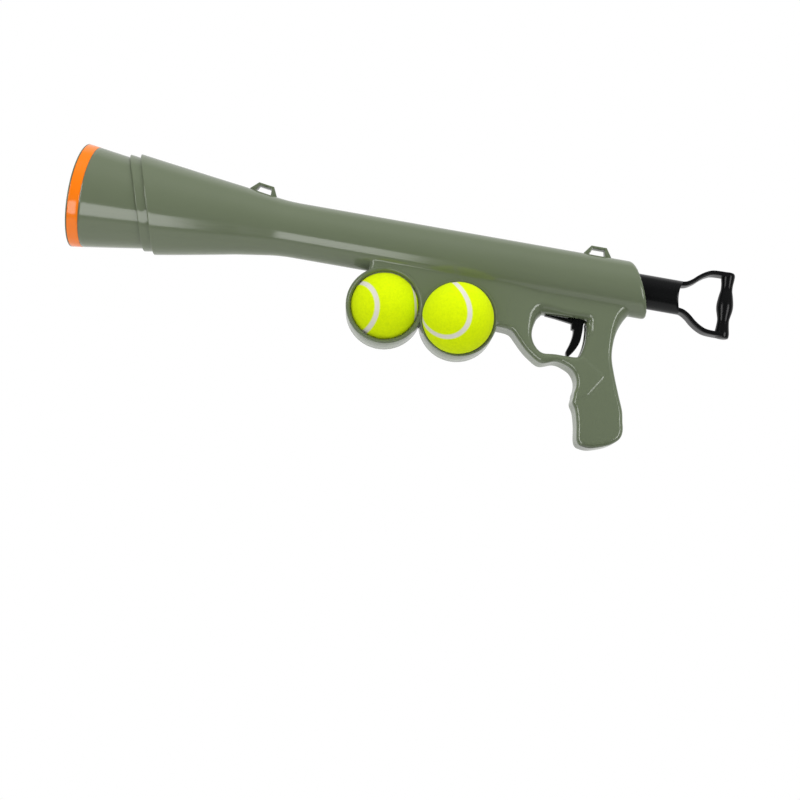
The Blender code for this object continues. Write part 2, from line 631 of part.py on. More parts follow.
def plunger():
    """The striker: pad, head, rod, plug and nut, and the pull tube with its catch slot."""
    at = (HEAD_X, 0, 0)
    screw = SCREW_HEAD_RADIUS + GAP
    lathe("plunger_bumper", [
        (BUMPER_X, HEAD_RADIUS - GAP), (BUMPER_X + BUMPER_THICK, HEAD_RADIUS - GAP),
        (BUMPER_X + BUMPER_THICK, screw), (BUMPER_X, screw)], RUBBER, closed=True,
        sides=INNER_SIDES, origin=at)
    end = HEAD_X + HEAD_LENGTH
    back = end - HEAD_SKIRT
    hole = SCREW_RADIUS + GAP
    rod = ROD_RADIUS + GAP
    pocket = HEAD_X + HEAD_WALL
    lathe("plunger_head", [
        (HEAD_X, HEAD_RADIUS), (end, HEAD_RADIUS), (end, HEAD_RADIUS - HEAD_WALL),
        (back, HEAD_RADIUS - HEAD_WALL), (back, rod), (pocket, rod), (pocket, hole),
        (HEAD_X, hole)], BLACK, closed=True, sides=INNER_SIDES, origin=at)
    rod_x = pocket + GAP
    tip = rod_x + 2 * HEAD_WALL
    rod_end = NUT_X + NUT_LENGTH + ROD_TAIL
    lathe("plunger_rod", [
        (rod_x, ROD_RADIUS), (rod_end, ROD_RADIUS), (rod_end, ROD_HOLE_RADIUS),
        (tip + GAP, ROD_HOLE_RADIUS), (tip + GAP, hole), (rod_x, hole)], STEEL, closed=True,
        sides=SMALL_SIDES, origin=at)
    lathe("head_screw", [
        (HEAD_X - GAP - SCREW_HEAD_HEIGHT, SCREW_HEAD_RADIUS), (HEAD_X - GAP, SCREW_HEAD_RADIUS),
        (HEAD_X - GAP, SCREW_RADIUS), (tip, SCREW_RADIUS)], STEEL, sides=SMALL_SIDES, origin=at)
    spigot = TUBE_BORE - GAP
    lathe("tube_plug", [
        (PLUG_X, TUBE_RADIUS), (PLUG_X + PLUG_FLANGE, TUBE_RADIUS), (PLUG_X + PLUG_FLANGE, spigot),
        (PLUG_X + PLUG_LENGTH, spigot), (PLUG_X + PLUG_LENGTH, rod), (PLUG_X, rod)],
        BLACK, closed=True, sides=INNER_SIDES, origin=at)
    nut_end = NUT_X + NUT_LENGTH
    nut = lathe("rod_nut", [(NUT_X, NUT_RADIUS), (nut_end, NUT_RADIUS)], STEEL, sides=NUT_SIDES,
                origin=at)
    thread = lathe("thread", [(NUT_X - OVERRUN, rod), (nut_end + OVERRUN, rod)], None,
                   sides=SMALL_SIDES)
    combine(nut, [thread], "DIFFERENCE")
    tube = lathe("pull_tube", [
        (TUBE_X, TUBE_RADIUS), (TUBE_END_X, TUBE_RADIUS), (TUBE_END_X, TUBE_BORE),
        (TUBE_X, TUBE_BORE)], BLACK, closed=True, sides=INNER_SIDES, origin=at)
    slot = NOSE_X + NOSE_LENGTH / 2 - STROKE
    cutter = block("catch_slot", (slot - SLOT_LENGTH / 2, slot + SLOT_LENGTH / 2),
                   (-SLOT_HALF, SLOT_HALF), (-TUBE_RADIUS - OVERRUN, -TUBE_BORE / 2))
    screw_x = COLLAR_X - SPIGOT_LENGTH / 2
    drilled = lathe("screw_hole", [(TUBE_BORE / 2, SCREW_RADIUS + GAP),
                                   (TUBE_RADIUS + OVERRUN, SCREW_RADIUS + GAP)], None, "Y",
                    (screw_x, 0, 0), sides=SMALL_SIDES)
    combine(tube, [cutter, drilled], "DIFFERENCE")


def helix(name, start, end, radius, wire, turns, axis, at, sides=WIRE_SIDES, origin=None):
    """A coil spring between two places along an axis, one unbroken wire of closed rings."""
    count = turns * TURN_STEPS + 1
    turn = np.arange(count) / TURN_STEPS
    share = turn / turns
    along = start + wire + (end - start - 2 * wire) * share
    phase = turn * 2 * math.pi
    centre = np.stack([along, radius * np.cos(phase), radius * np.sin(phase)], axis=1)
    tangent = np.gradient(centre, axis=0)
    tangent /= np.linalg.norm(tangent, axis=1, keepdims=True)
    outward = np.stack([phase * 0, np.cos(phase), np.sin(phase)], axis=1)
    across = np.cross(tangent, outward)
    across /= np.linalg.norm(across, axis=1, keepdims=True)
    angles = np.arange(sides) * 2 * math.pi / sides
    rings = (centre[:, None] + wire * (np.cos(angles)[None, :, None] * outward[:, None]
                                       + np.sin(angles)[None, :, None] * across[:, None]))
    if axis == "Z":
        rings = rings[:, :, [1, 2, 0]]
    rings = rings + np.array(at, float)
    return skin(name, rings, STEEL, False, at if origin is None else origin)


def springs():
    """The main spring behind the plunger head, and the two small return springs."""
    helix("main_spring", HEAD_X + HEAD_LENGTH - HEAD_SKIRT + GAP, SEAT_X - GAP, SPRING_RADIUS,
          SPRING_WIRE, SPRING_TURNS, "X", (0, 0, 0), origin=(HEAD_X, 0, 0))
    floor = -(BARREL_RADIUS + HAND_LENGTH * GRIP_CAVITY_SHARES[0][1])
    helix("sear_spring", floor + GAP, SEAR_BOTTOM - GAP, SMALL_SPRING_RADIUS, SMALL_SPRING_WIRE,
          SMALL_SPRING_TURNS, "Z", (SEAR_SPRING_X, 0, 0), SMALL_WIRE_SIDES)
    helix("trigger_spring", PIN_X + HAND_LENGTH * TRIGGER_SHARES[5][0] + GAP,
          PIN_X + HAND_LENGTH * SPRING_RIB_SHARE - GAP, SMALL_SPRING_RADIUS, SMALL_SPRING_WIRE,
          SMALL_SPRING_TURNS, "X", (0, 0, TRIGGER_SPRING_Z), SMALL_WIRE_SIDES)


def levers():
    """The trigger, the sear it lifts, and the pins they turn on."""
    blade = hand(TRIGGER_SHARES)
    pivot = (PIN_X, 0, PIN_Z)
    arm_top = SEAR_BOTTOM - GAP
    arm = [(SEAR_END_X - WALL * 2, arm_top), (SEAR_END_X, arm_top),
           (SEAR_END_X, arm_top - WALL)]
    outline = blade[:ARM_ROW] + arm + blade[ARM_ROW:]
    trigger = slab("trigger", outline, -LEVER_HALF, LEVER_HALF, BLACK, TRIGGER_EDGE, pivot)
    pin_room = [(-WEB_HALF, PIN_RADIUS + GAP), (WEB_HALF, PIN_RADIUS + GAP)]
    hole = lathe("hole", pin_room, None, "Y", pivot, sides=SMALL_SIDES)
    combine(trigger, [hole], "DIFFERENCE")
    pivot = (SEAR_PIN_X, 0, SEAR_PIN_Z)
    nose = -(TUBE_RADIUS + GAP)
    outline = [(NOSE_X, nose), (NOSE_X + NOSE_LENGTH, nose),
               (NOSE_X + NOSE_FOOT, SEAR_TOP), (SEAR_PIN_X + SEAR_HEIGHT, SEAR_TOP),
               (SEAR_END_X, SEAR_PIN_Z), (SEAR_END_X, SEAR_BOTTOM), (NOSE_X, SEAR_BOTTOM)]
    sear = slab("sear", outline, -LEVER_HALF, LEVER_HALF, STEEL, 0, pivot)
    hole = lathe("hole", pin_room, None, "Y", pivot, sides=SMALL_SIDES)
    combine(sear, [hole], "DIFFERENCE")
    for name, x, z in (("trigger_pin", PIN_X, PIN_Z), ("sear_pin", SEAR_PIN_X, SEAR_PIN_Z)):
        lathe(name, [(-PIN_HALF, PIN_RADIUS), (PIN_HALF, PIN_RADIUS)], STEEL, "Y", (x, 0, z),
              sides=SMALL_SIDES)


def pull_handle():
    """The D-handle in one moulding: spigot, collar, two bowed straps and a swelling bar."""
    at = (HEAD_X, 0, 0)
    spigot = TUBE_BORE - GAP
    handle = lathe("pull_handle", [
        (COLLAR_X - SPIGOT_LENGTH, spigot), (COLLAR_X, spigot), (COLLAR_X, TUBE_RADIUS),
        (STRAP_X, TUBE_RADIUS)], BLACK, sides=INNER_SIDES, origin=at)
    added = []
    for side in (-1, 1):
        middle = np.array([(STRAP_X - COLLAR_LENGTH / 2 + STRAP_REACH * u,
                            side * HANDLE_HALF_HEIGHT * w) for u, w in STRAP_SHARES])
        along = np.gradient(middle, axis=0)
        along /= np.linalg.norm(along, axis=1, keepdims=True)
        across = np.stack([-along[:, 1], along[:, 0]], axis=1) * STRAP_THICK / 2
        outline = np.concatenate([middle + across, (middle - across)[::-1]])
        added.append(slab("strap", outline, -STRAP_HALF, STRAP_HALF, BLACK, STRAP_EDGE))
    tall = HANDLE_HALF_HEIGHT
    added.append(lathe("bar", [(tall * u, BAR_RADIUS + BAR_SWELL * w) for u, w in SWELL_SHARES],
                       BLACK, "Z", (BAR_X, 0, 0), sides=BAR_SIDES))
    combine(handle, added, "UNION")
    screw_x = COLLAR_X - SPIGOT_LENGTH / 2
    tip = spigot / 2
    hole = lathe("hole", [(tip - GAP, SCREW_RADIUS + GAP),
                          (TUBE_RADIUS + OVERRUN, SCREW_RADIUS + GAP)],
                 None, "Y", (screw_x, 0, 0), sides=SMALL_SIDES)
    combine(handle, [hole], "DIFFERENCE")
    head = TUBE_RADIUS + GAP
    lathe("handle_screw", [
        (tip, SCREW_RADIUS), (head, SCREW_RADIUS), (head, SCREW_HEAD_RADIUS),
        (head + SCREW_HEAD_HEIGHT / 2, SCREW_HEAD_RADIUS)], STEEL, "Y", (screw_x, 0, 0),
        sides=SMALL_SIDES, origin=at)


def ball(name, x, y):
    """A felt ball carried in a side ring."""
    profile = []
    for i in range(1, BALL_RINGS):
        angle = math.pi * i / BALL_RINGS
        profile.append((-BALL_RADIUS * math.cos(angle), BALL_RADIUS * math.sin(angle)))
    lathe(name, profile, FELT, "Y", (x, y, -RING_DROP), sides=BALL_SIDES)


def body_screws():
    """The self-tapping screws that hold the shells, driven from the right side."""
    for number, (x, z) in enumerate(screw_places(), 1):
        lathe(f"body_screw_{number}", [
            (-SCREW_TIP_Y, SCREW_RADIUS / 2), (-SCREW_TIP_Y + SCREW_RADIUS, SCREW_RADIUS),
            (SCREW_SEAT_Y, SCREW_RADIUS), (SCREW_SEAT_Y, SCREW_HEAD_RADIUS),
            (SCREW_SEAT_Y + SCREW_HEAD_HEIGHT, SCREW_HEAD_RADIUS)], STEEL, "Y", (x, 0, z),
            sides=SMALL_SIDES)


shells()
muzzle_pieces()
barrel_inside()
plunger()
springs()
levers()
pull_handle()
ball("ball_1", RING_1_X, BALL_1_Y)
ball("ball_2", RING_2_X, BALL_2_Y)
body_screws()
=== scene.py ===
"""Hand-cocked ball launcher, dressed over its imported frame.

The sections follow the launcher as it is put together: the two moulded shells, the muzzle, what
slides inside the barrel, the D-handle, the trigger, the balls and the screws, and last the floor,
the light and the camera. Shapes are worked out in launcher millimetres: x from the muzzle's rim,
y across, z up from the barrel's line.
"""
import bmesh
import bpy
import math
import numpy as np
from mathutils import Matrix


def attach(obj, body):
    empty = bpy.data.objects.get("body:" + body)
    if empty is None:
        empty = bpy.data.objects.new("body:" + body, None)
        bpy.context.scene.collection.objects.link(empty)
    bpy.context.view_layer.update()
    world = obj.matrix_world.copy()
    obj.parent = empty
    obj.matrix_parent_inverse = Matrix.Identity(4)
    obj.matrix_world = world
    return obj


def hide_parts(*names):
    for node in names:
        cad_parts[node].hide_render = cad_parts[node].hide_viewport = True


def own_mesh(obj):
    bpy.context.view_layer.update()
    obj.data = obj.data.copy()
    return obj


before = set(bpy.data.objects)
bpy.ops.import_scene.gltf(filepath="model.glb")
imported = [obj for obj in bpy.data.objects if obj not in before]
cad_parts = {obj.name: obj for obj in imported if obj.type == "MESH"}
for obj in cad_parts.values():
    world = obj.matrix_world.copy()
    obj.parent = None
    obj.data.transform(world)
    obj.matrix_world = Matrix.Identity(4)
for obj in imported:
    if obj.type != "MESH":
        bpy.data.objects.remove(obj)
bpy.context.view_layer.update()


# The two half shells. Green gloss plastic, injection moulded, 2.4 mm thick, parted down the
# middle: bell with two raised collars, barrel, web, ball rings, trigger guard and pistol grip.
MUZZLE_X = -484.0
BARREL_Z = 149.9
SEAM = 0.05
BARREL_RADIUS = 24.7
BORE_RADIUS = 22.3
RIM_RADIUS = 46.6
CONE_SLOPE = 0.14
CONE_LENGTH = 78.0
CONE_WALL = 2.2
FIT = 0.3
COLLAR_HEIGHT = 2.6
COLLAR_X = 51.0
COLLAR_PITCH = 9.5
COLLAR_LEAN = 0.327
COLLAR_BOW = 4.5
COLLAR_EDGE = 1.1
BELL_SWELL = 0.55
THROAT_X = 186.0
THROAT_EASE = 24.0
DROOP = 2.5
DROOP_LENGTH = 146.0
JOINT_X = 266.0
JOINT_LAP = 4.0
JOINT_SINK = 0.04
WALL = 2.4
FULL_UNTIL = 150.0
FULL_RAMP = 60.0
COLLARS_END = CONE_LENGTH + 22
INNER_X = (JOINT_X, 198, 190, 180, 174, 160, 146, 128)
FUNNEL_FOOT = (110.5, 33.0)
HALF_TURN = 121


def to_frame(points):
    """Launcher millimetres as frame metres: shifted to the grip's base and divided by 1000."""
    return (np.asarray(points, float) + (MUZZLE_X, 0, BARREL_Z)) / 1000


def make_piece(name, parts, finish, sharp=35.0):
    """One mesh object from (points, faces) parts in launcher millimetres, shaded smooth up to
    the sharp angle in degrees."""
    points, faces, count = [], [], 0
    for part_points, part_faces in parts:
        points.append(np.asarray(part_points, float).reshape(-1, 3))
        faces += [tuple(int(i) + count for i in face) for face in part_faces]
        count += len(points[-1])
    mesh = bpy.data.meshes.new(name)
    mesh.from_pydata(to_frame(np.concatenate(points)).tolist(), [], faces)
    mesh.update()
    mesh.shade_smooth()
    mesh.set_sharp_from_angle(angle=math.radians(sharp))
    mesh.materials.append(finish)
    made = bpy.data.objects.new(name, mesh)
    bpy.context.scene.collection.objects.link(made)
    return made


def grid(rows, ring=True, stack=False):
    """Faces between neighbouring rows of points: each point joins its two neighbours to the
    same two in the next row. ring closes each row, stack joins the last row to the first."""
    rows = np.asarray(rows, float)
    count, across = rows.shape[:2]
    i = np.arange(count if stack else count - 1)[:, None]
    k = np.arange(across if ring else across - 1)[None, :]
    j, m = (i + 1) % count, (k + 1) % across
    quads = np.stack([i * across + k, j * across + k, j * across + m, i * across + m], -1)
    return rows.reshape(-1, 3), quads.reshape(-1, 4).tolist()


def outward(part):
    """The same part with its faces turned round if its signed volume, the sum of each corner
    fan's triple product, is negative."""
    points, faces = part
    points = np.asarray(points, float).reshape(-1, 3)
    middle = points.mean(axis=0)
    volume = 0.0
    for size in {len(face) for face in faces}:
        fans = points[np.array([face for face in faces if len(face) == size])] - middle
        for corner in range(1, size - 1):
            volume += np.einsum("ij,ij->i", fans[:, 0],
                                np.cross(fans[:, corner], fans[:, corner + 1])).sum()
    return points, ([face[::-1] for face in faces] if volume < 0 else faces)


def capped(rows):
    """Closed rows of points joined into a tube, with a flat face over either end."""
    points, faces = grid(rows)
    count = np.shape(rows)[1]
    faces.append(list(range(count)))
    faces.append([len(points) - count + i for i in reversed(range(count))])
    return outward((points, faces))


def cone_radius(x):
    """The plain cone's radius: a straight taper from the rim."""
    return RIM_RADIUS - CONE_SLOPE * x


def bell_radius(x):
    """The bell's radius: a straight taper behind the collars, a little fuller at its wide end,
    eased by a square law into the straight barrel."""
    start = COLLAR_X + COLLAR_PITCH
    top = cone_radius(start) + 2 * COLLAR_HEIGHT
    slope = (top - BARREL_RADIUS) / (THROAT_X - start)
    left = np.maximum(THROAT_X + THROAT_EASE / 2 - x, 0)
    eased = np.minimum(left, THROAT_EASE) ** 2 / (2 * THROAT_EASE)
    fuller = BELL_SWELL * np.clip((FULL_UNTIL - x) / FULL_RAMP, 0, 1)
    return BARREL_RADIUS + fuller + slope * (eased + np.maximum(left - THROAT_EASE, 0))


def droop(x):
    """How far the bell's centre hangs at x: a parabola that ends at the liner."""
    return -DROOP * np.clip(1 - (x / DROOP_LENGTH) ** 2, 0, 1)


def collar_line(height, pitch):
    """A collar's edge at a height: a line that leans back downwards, bowed by a parabola."""
    rise = height / RIM_RADIUS
    return COLLAR_X + pitch - COLLAR_LEAN * height + COLLAR_BOW * (1 - rise * rise)


def bell_shell(side):
    """Half of the bell and front barrel: a closed profile carried round half a turn, y being
    radius times cosine and z radius times sine."""
    turn = np.linspace(math.pi / 2, -math.pi / 2, HALF_TURN)
    up = np.sin(turn)
    rows = []

    def ring(x, radius):
        x = np.broadcast_to(x, up.shape).astype(float)
        y = side * np.maximum(radius * np.cos(turn), SEAM)
        rows.append(np.stack([x, y, radius * up + droop(x)], axis=1))

    first = collar_line(up * cone_radius(COLLAR_X), 0)
    second = collar_line(up * cone_radius(COLLAR_X), COLLAR_PITCH)
    arc = np.radians([0, 20, 45, 70, 90])

    def on_collar(x):
        return cone_radius(x) + COLLAR_HEIGHT

    def over_edge(edge, top):
        for angle in arc:
            x = edge + COLLAR_EDGE * (1 - math.cos(angle))
            ring(x, top(x) - COLLAR_EDGE * (1 - math.sin(angle)))

    ring(first, cone_radius(first) + FIT)
    over_edge(first, on_collar)
    middle = (first + second) / 2
    ring(middle, on_collar(middle))
    ring(second - COLLAR_EDGE / 2, on_collar(second))
    ring(second - COLLAR_EDGE / 8, on_collar(second) + COLLAR_EDGE / 8)
    over_edge(second, bell_radius)
    start = second + COLLAR_EDGE
    for share in np.linspace(0, 1, 12)[1:]:
        x = start + (COLLARS_END - start) * share
        ring(x, bell_radius(x))
    for x in np.linspace(COLLARS_END, JOINT_X, 60)[1:]:
        ring(x, bell_radius(x))
    for x in INNER_X:
        ring(x, bell_radius(x) - WALL)
    ring(*FUNNEL_FOOT)
    ring(CONE_LENGTH, cone_radius(CONE_LENGTH) - CONE_WALL + FIT)
    ring(CONE_LENGTH, cone_radius(CONE_LENGTH) + FIT)
    points, faces = grid(rows, ring=False, stack=True)
    count = len(rows)
    faces.append([i * HALF_TURN for i in reversed(range(count))])
    faces.append([i * HALF_TURN + HALF_TURN - 1 for i in range(count)])
    return outward((points, faces))


# Rear part of the shells: barrel, web, guard and grip run into each other in fillets, so they
# are one distance field, met on a fine grid.
WEB_HALF = 15.0
WEB_X = 268.0
PIN_X = 464.0
HAND = 100.0
BARREL_END = 510.0
REAR_LEAN = 0.42
EDGE_ROUND = 4.2
SOFT_SPOTS = [(500, -30, 9, 13, 9.0), (424, -37, 11, 9, 6.5), (443, -36, 14, 7, 1.5),
              (469, -42, 7, 9, 4.0)]
PANEL = [(452, -66), (470, -73), (482.1, -81.0), (488.7, -85.7), (476.5, -104.5),
         (467.7, -110.0), (452, -114)]
PANEL_RISE = 0.55
PANEL_RAMP = 1.5
RING_SWELL = 1.9
SWELL_END = 425
SWELL_RAMP = 30
REAR_ROUND = 3.5
FILLET = 1.0
RING_X = (286.9, 353.4)
RING_Z = -56.2
RING_RADIUS = 34.5
RING_HALF = 17.0
RING_BORE = 33.0
RING_SEAT = RING_BORE + 0.8
RING_SIDES = 160
RING_EDGE = 0.7
LIP_RADII = (30.3, 31.0)
LEVER_ROOM = (460.75, -20.0, 29.25, 12.4)
SLOTS = [(461, -34, 10, 4), (468, -51.95, 6, 20.25)]
SLOT_HALF = 4.6
POST_RADIUS = 4.0
SCREW_HOLE = 1.8
SCREW_END = 9.8
RECESS_RADIUS = 3.3
RECESS_FLOOR = 9.2
CELL = 1.1
FIELD_END = 523
FIELD_Z = (-152.5, 27)
FIELD_LAYERS = 25
UNDER = [(-0.763, 0.325), (-0.635, 0.337), (-0.567, 0.395), (-0.507, 0.457),
         (-0.432, 0.520), (-0.320, 0.580), (-0.200, 0.545), (-0.120, 0.555),
         (-0.039, 0.593), (0.008, 0.657), (0.021, 0.728), (0.012, 0.790),
         (0.012, 0.830), (0.010, 0.881), (0.046, 0.948), (0.076, 1.065),
         (0.094, 1.188), (0.118, 1.236), (0.160, 1.252), (0.240, 1.252),
         (0.380, 1.202), (0.466, 1.137), (0.490, 1.062), (0.475, 0.969),
         (0.457, 0.877), (0.404, 0.741), (0.343, 0.579), (0.298, 0.434),
         (0.290, 0.311), (0.307, 0.190), (0.352, 0.074), (0.406, -0.018)]
GUARD = [(-0.340, 0.118), (0.000, 0.118), (0.028, 0.150), (0.041, 0.230),
         (0.041, 0.330), (0.020, 0.430), (-0.020, 0.475), (-0.200, 0.478),
         (-0.320, 0.486), (-0.390, 0.440), (-0.432, 0.370), (-0.440, 0.290),
         (-0.415, 0.190), (-0.380, 0.140)]
GRIP_HOLLOW = [(0.070, 0.093), (0.262, 0.093), (0.264, 0.311), (0.272, 0.440),
               (0.316, 0.587), (0.378, 0.750), (0.430, 0.886), (0.448, 0.972),
               (0.460, 1.050), (0.436, 1.118), (0.362, 1.176), (0.240, 1.222),
               (0.150, 1.213), (0.122, 1.182), (0.102, 1.060), (0.073, 0.940),
               (0.038, 0.876), (0.040, 0.812), (0.050, 0.728), (0.036, 0.652),
               (0.026, 0.600), (0.050, 0.440), (0.068, 0.330)]
SCREWS = [(-1.443, 0.058), (-0.640, 0.190), (0.225, 0.270), (0.230, 0.720), (0.290, 1.060)]


def hand(shares):
    """Hand parts' shares as launcher x and z, from the trigger's pin and the barrel's underside."""
    shares = np.asarray(shares, float)
    return np.stack([PIN_X + HAND * shares[:, 0], -BARREL_RADIUS - HAND * shares[:, 1]], axis=1)


def smooth_line(points, steps, closed):
    """A curve through the points: between two of them the cubic whose slopes are half the
    distance between their neighbours."""
    points = np.asarray(points, float)
    if closed:
        padded = np.concatenate([points[-1:], points, points[:2]])
    else:
        padded = np.concatenate([2 * points[:1] - points[1:2], points,
                                 2 * points[-1:] - points[-2:-1]])
    a, b, c, d = (padded[i:len(padded) - 3 + i, None] for i in range(4))
    t = np.linspace(0, 1, steps, endpoint=False)[None, :, None]
    curve = b + 0.5 * t * (c - a + t * (2 * a - 5 * b + 4 * c - d + t * (3 * (b - c) + d - a)))
    curve = curve.reshape(-1, points.shape[1])
    return curve if closed else np.concatenate([curve, points[-1:]])


def outline_distance(x, z, outline):
    """Signed distance to a closed outline, negative inside: the least distance to its straight
    pieces, with the sign from how many of them a level ray crosses."""
    shape = x.shape
    found = []
    start = np.asarray(outline, np.float32)
    step = np.roll(start, -1, axis=0) - start
    length = np.maximum((step ** 2).sum(axis=1), 1e-9)
    for part in np.array_split(np.stack([x.ravel(), z.ravel()], 1).astype(np.float32), SLICES):
        away = part[:, None] - start[None]
        share = np.clip((away * step).sum(-1) / length, 0, 1)
        near = ((away - share[..., None] * step) ** 2).sum(-1).min(axis=1)
        over = (start[None, :, 1] > part[:, None, 1]) != \
            (np.roll(start, -1, axis=0)[None, :, 1] > part[:, None, 1])
        safe = np.where(np.abs(step[:, 1]) < 1e-6, 1e-6, step[:, 1])
        reach = start[:, 0] + (part[:, None, 1] - start[None, :, 1]) * step[:, 0] / safe
        inside = (over & (part[:, None, 0] < reach)).sum(axis=1) % 2
        found.append(np.sqrt(near) * np.where(inside, -1, 1))
    return np.concatenate(found).reshape(shape)


SLICES = 24
MAP_STEP = 0.5
MAP_X = np.arange(256.0, 522.0, MAP_STEP)
MAP_Z = np.arange(-158.0, 40.0, MAP_STEP)
map_x, map_z = np.meshgrid(MAP_X, MAP_Z, indexing="ij")
side_line = np.concatenate([[(WEB_X, -BORE_RADIUS / 2), (WEB_X, -39.5), (RING_X[0], RING_Z),
                             (RING_X[1], RING_Z)], smooth_line(hand(UNDER), 6, False),
                            [(504.6, -BORE_RADIUS / 2)]])
guard_line = smooth_line(hand(GUARD), 6, True)
outer_map = np.maximum(outline_distance(map_x, map_z, side_line),
                       -outline_distance(map_x, map_z, guard_line))
hollow_map = outline_distance(map_x, map_z, smooth_line(hand(GRIP_HOLLOW), 3, True))
room_x, room_z, room_long, room_tall = LEVER_ROOM
hollow_map = np.minimum(hollow_map, np.maximum(np.abs(map_x - room_x) - room_long,
                                               np.abs(map_z - room_z) - room_tall))
panel_map = np.clip(0.5 - outline_distance(map_x, map_z, np.array(PANEL)) / PANEL_RAMP, 0, 1)
panel_map = PANEL_RISE * panel_map ** 2 * (3 - 2 * panel_map)


def read_map(values, x, z):
    """A map's value between its grid points: the four nearest, weighted by nearness."""
    u = np.clip((x - MAP_X[0]) / MAP_STEP, 0, len(MAP_X) - 2)
    w = np.clip((z - MAP_Z[0]) / MAP_STEP, 0, len(MAP_Z) - 2)
    i, k = u.astype(int), w.astype(int)
    u, w = u - i, w - k
    return ((1 - u) * (1 - w) * values[i, k] + u * (1 - w) * values[i + 1, k]
            + (1 - u) * w * values[i, k + 1] + u * w * values[i + 1, k + 1])


def rounded_both(a, b, radius):
    """Inside both shapes, with their shared edge rounded: a quarter circle of that radius."""
    corner = np.hypot(np.maximum(a + radius, 0), np.maximum(b + radius, 0))
    return np.minimum(np.maximum(a, b), -radius) + corner


def filleted_either(a, b, width):
    """Inside either shape, with a fillet in the hollow edge: a parabola over that width."""
    near = np.maximum(width - np.abs(a - b), 0) / width
    return np.minimum(a, b) - near * near * width / 4


def moulding(x, y, z, side):
    """Signed distance to the rear part of a shell: barrel and plate filleted together, then
    the bore, the ring seats, the lever room, the screw holes and the slots taken out. The
    plate is thicker by the rings, in a straight ramp, and its edges are rounder near the soft
    spots, by a bell curve each."""
    across = np.abs(y)
    turn = np.hypot(y, z)
    sink = JOINT_SINK * np.clip(JOINT_X + 1 - x, 0, 1)
    rear = (x + REAR_LEAN * z - BARREL_END) / math.hypot(1, REAR_LEAN)
    tube = rounded_both(turn - BARREL_RADIUS + sink, rear, REAR_ROUND)
    edge = EDGE_ROUND
    for spot_x, spot_z, wide, tall, more in SOFT_SPOTS:
        off = ((x - spot_x) / wide) ** 2 + ((z - spot_z) / tall) ** 2
        edge = edge + more * np.exp(-0.5 * off)
    swell = RING_SWELL * np.clip((SWELL_END - x) / SWELL_RAMP, 0, 1)
    half = WEB_HALF + read_map(panel_map, x, z) + swell
    plate = rounded_both(read_map(outer_map, x, z), across - half, edge)
    solid = filleted_either(tube, plate, FILLET)
    solid = np.maximum(solid, BORE_RADIUS - turn)
    room = np.maximum(read_map(hollow_map, x, z), across - WEB_HALF + WALL)
    solid = np.maximum(solid, -room)
    for slot_x, slot_z, long, tall in SLOTS:
        slot = np.maximum(np.abs(x - slot_x) - long, np.abs(z - slot_z) - tall)
        solid = np.maximum(solid, -np.maximum(slot, across - SLOT_HALF))
    for ring_x in RING_X:
        solid = np.maximum(solid, RING_SEAT - np.hypot(x - ring_x, z - RING_Z))
    for number, (screw_x, screw_z) in enumerate(hand(SCREWS)):
        post = np.hypot(x - screw_x, z - screw_z)
        if number:
            solid = np.minimum(solid, np.maximum(post - POST_RADIUS, across - WEB_HALF + 1))
        if side < 0:
            solid = np.maximum(solid, np.minimum(SCREW_HOLE - post, SCREW_END - across))
        else:
            solid = np.maximum(solid, SCREW_HOLE - post)
            solid = np.maximum(solid, -np.maximum(post - RECESS_RADIUS, RECESS_FLOOR - across))
    return np.maximum(solid, JOINT_X - JOINT_LAP - x)


def slope(field, points, step=0.05):
    """The field's slope at each point: the difference over a small step along each axis."""
    made = []
    for axis in np.eye(3) * step:
        made.append(field(*(points + axis).T) - field(*(points - axis).T))
    return np.stack(made, axis=1) / (2 * step)


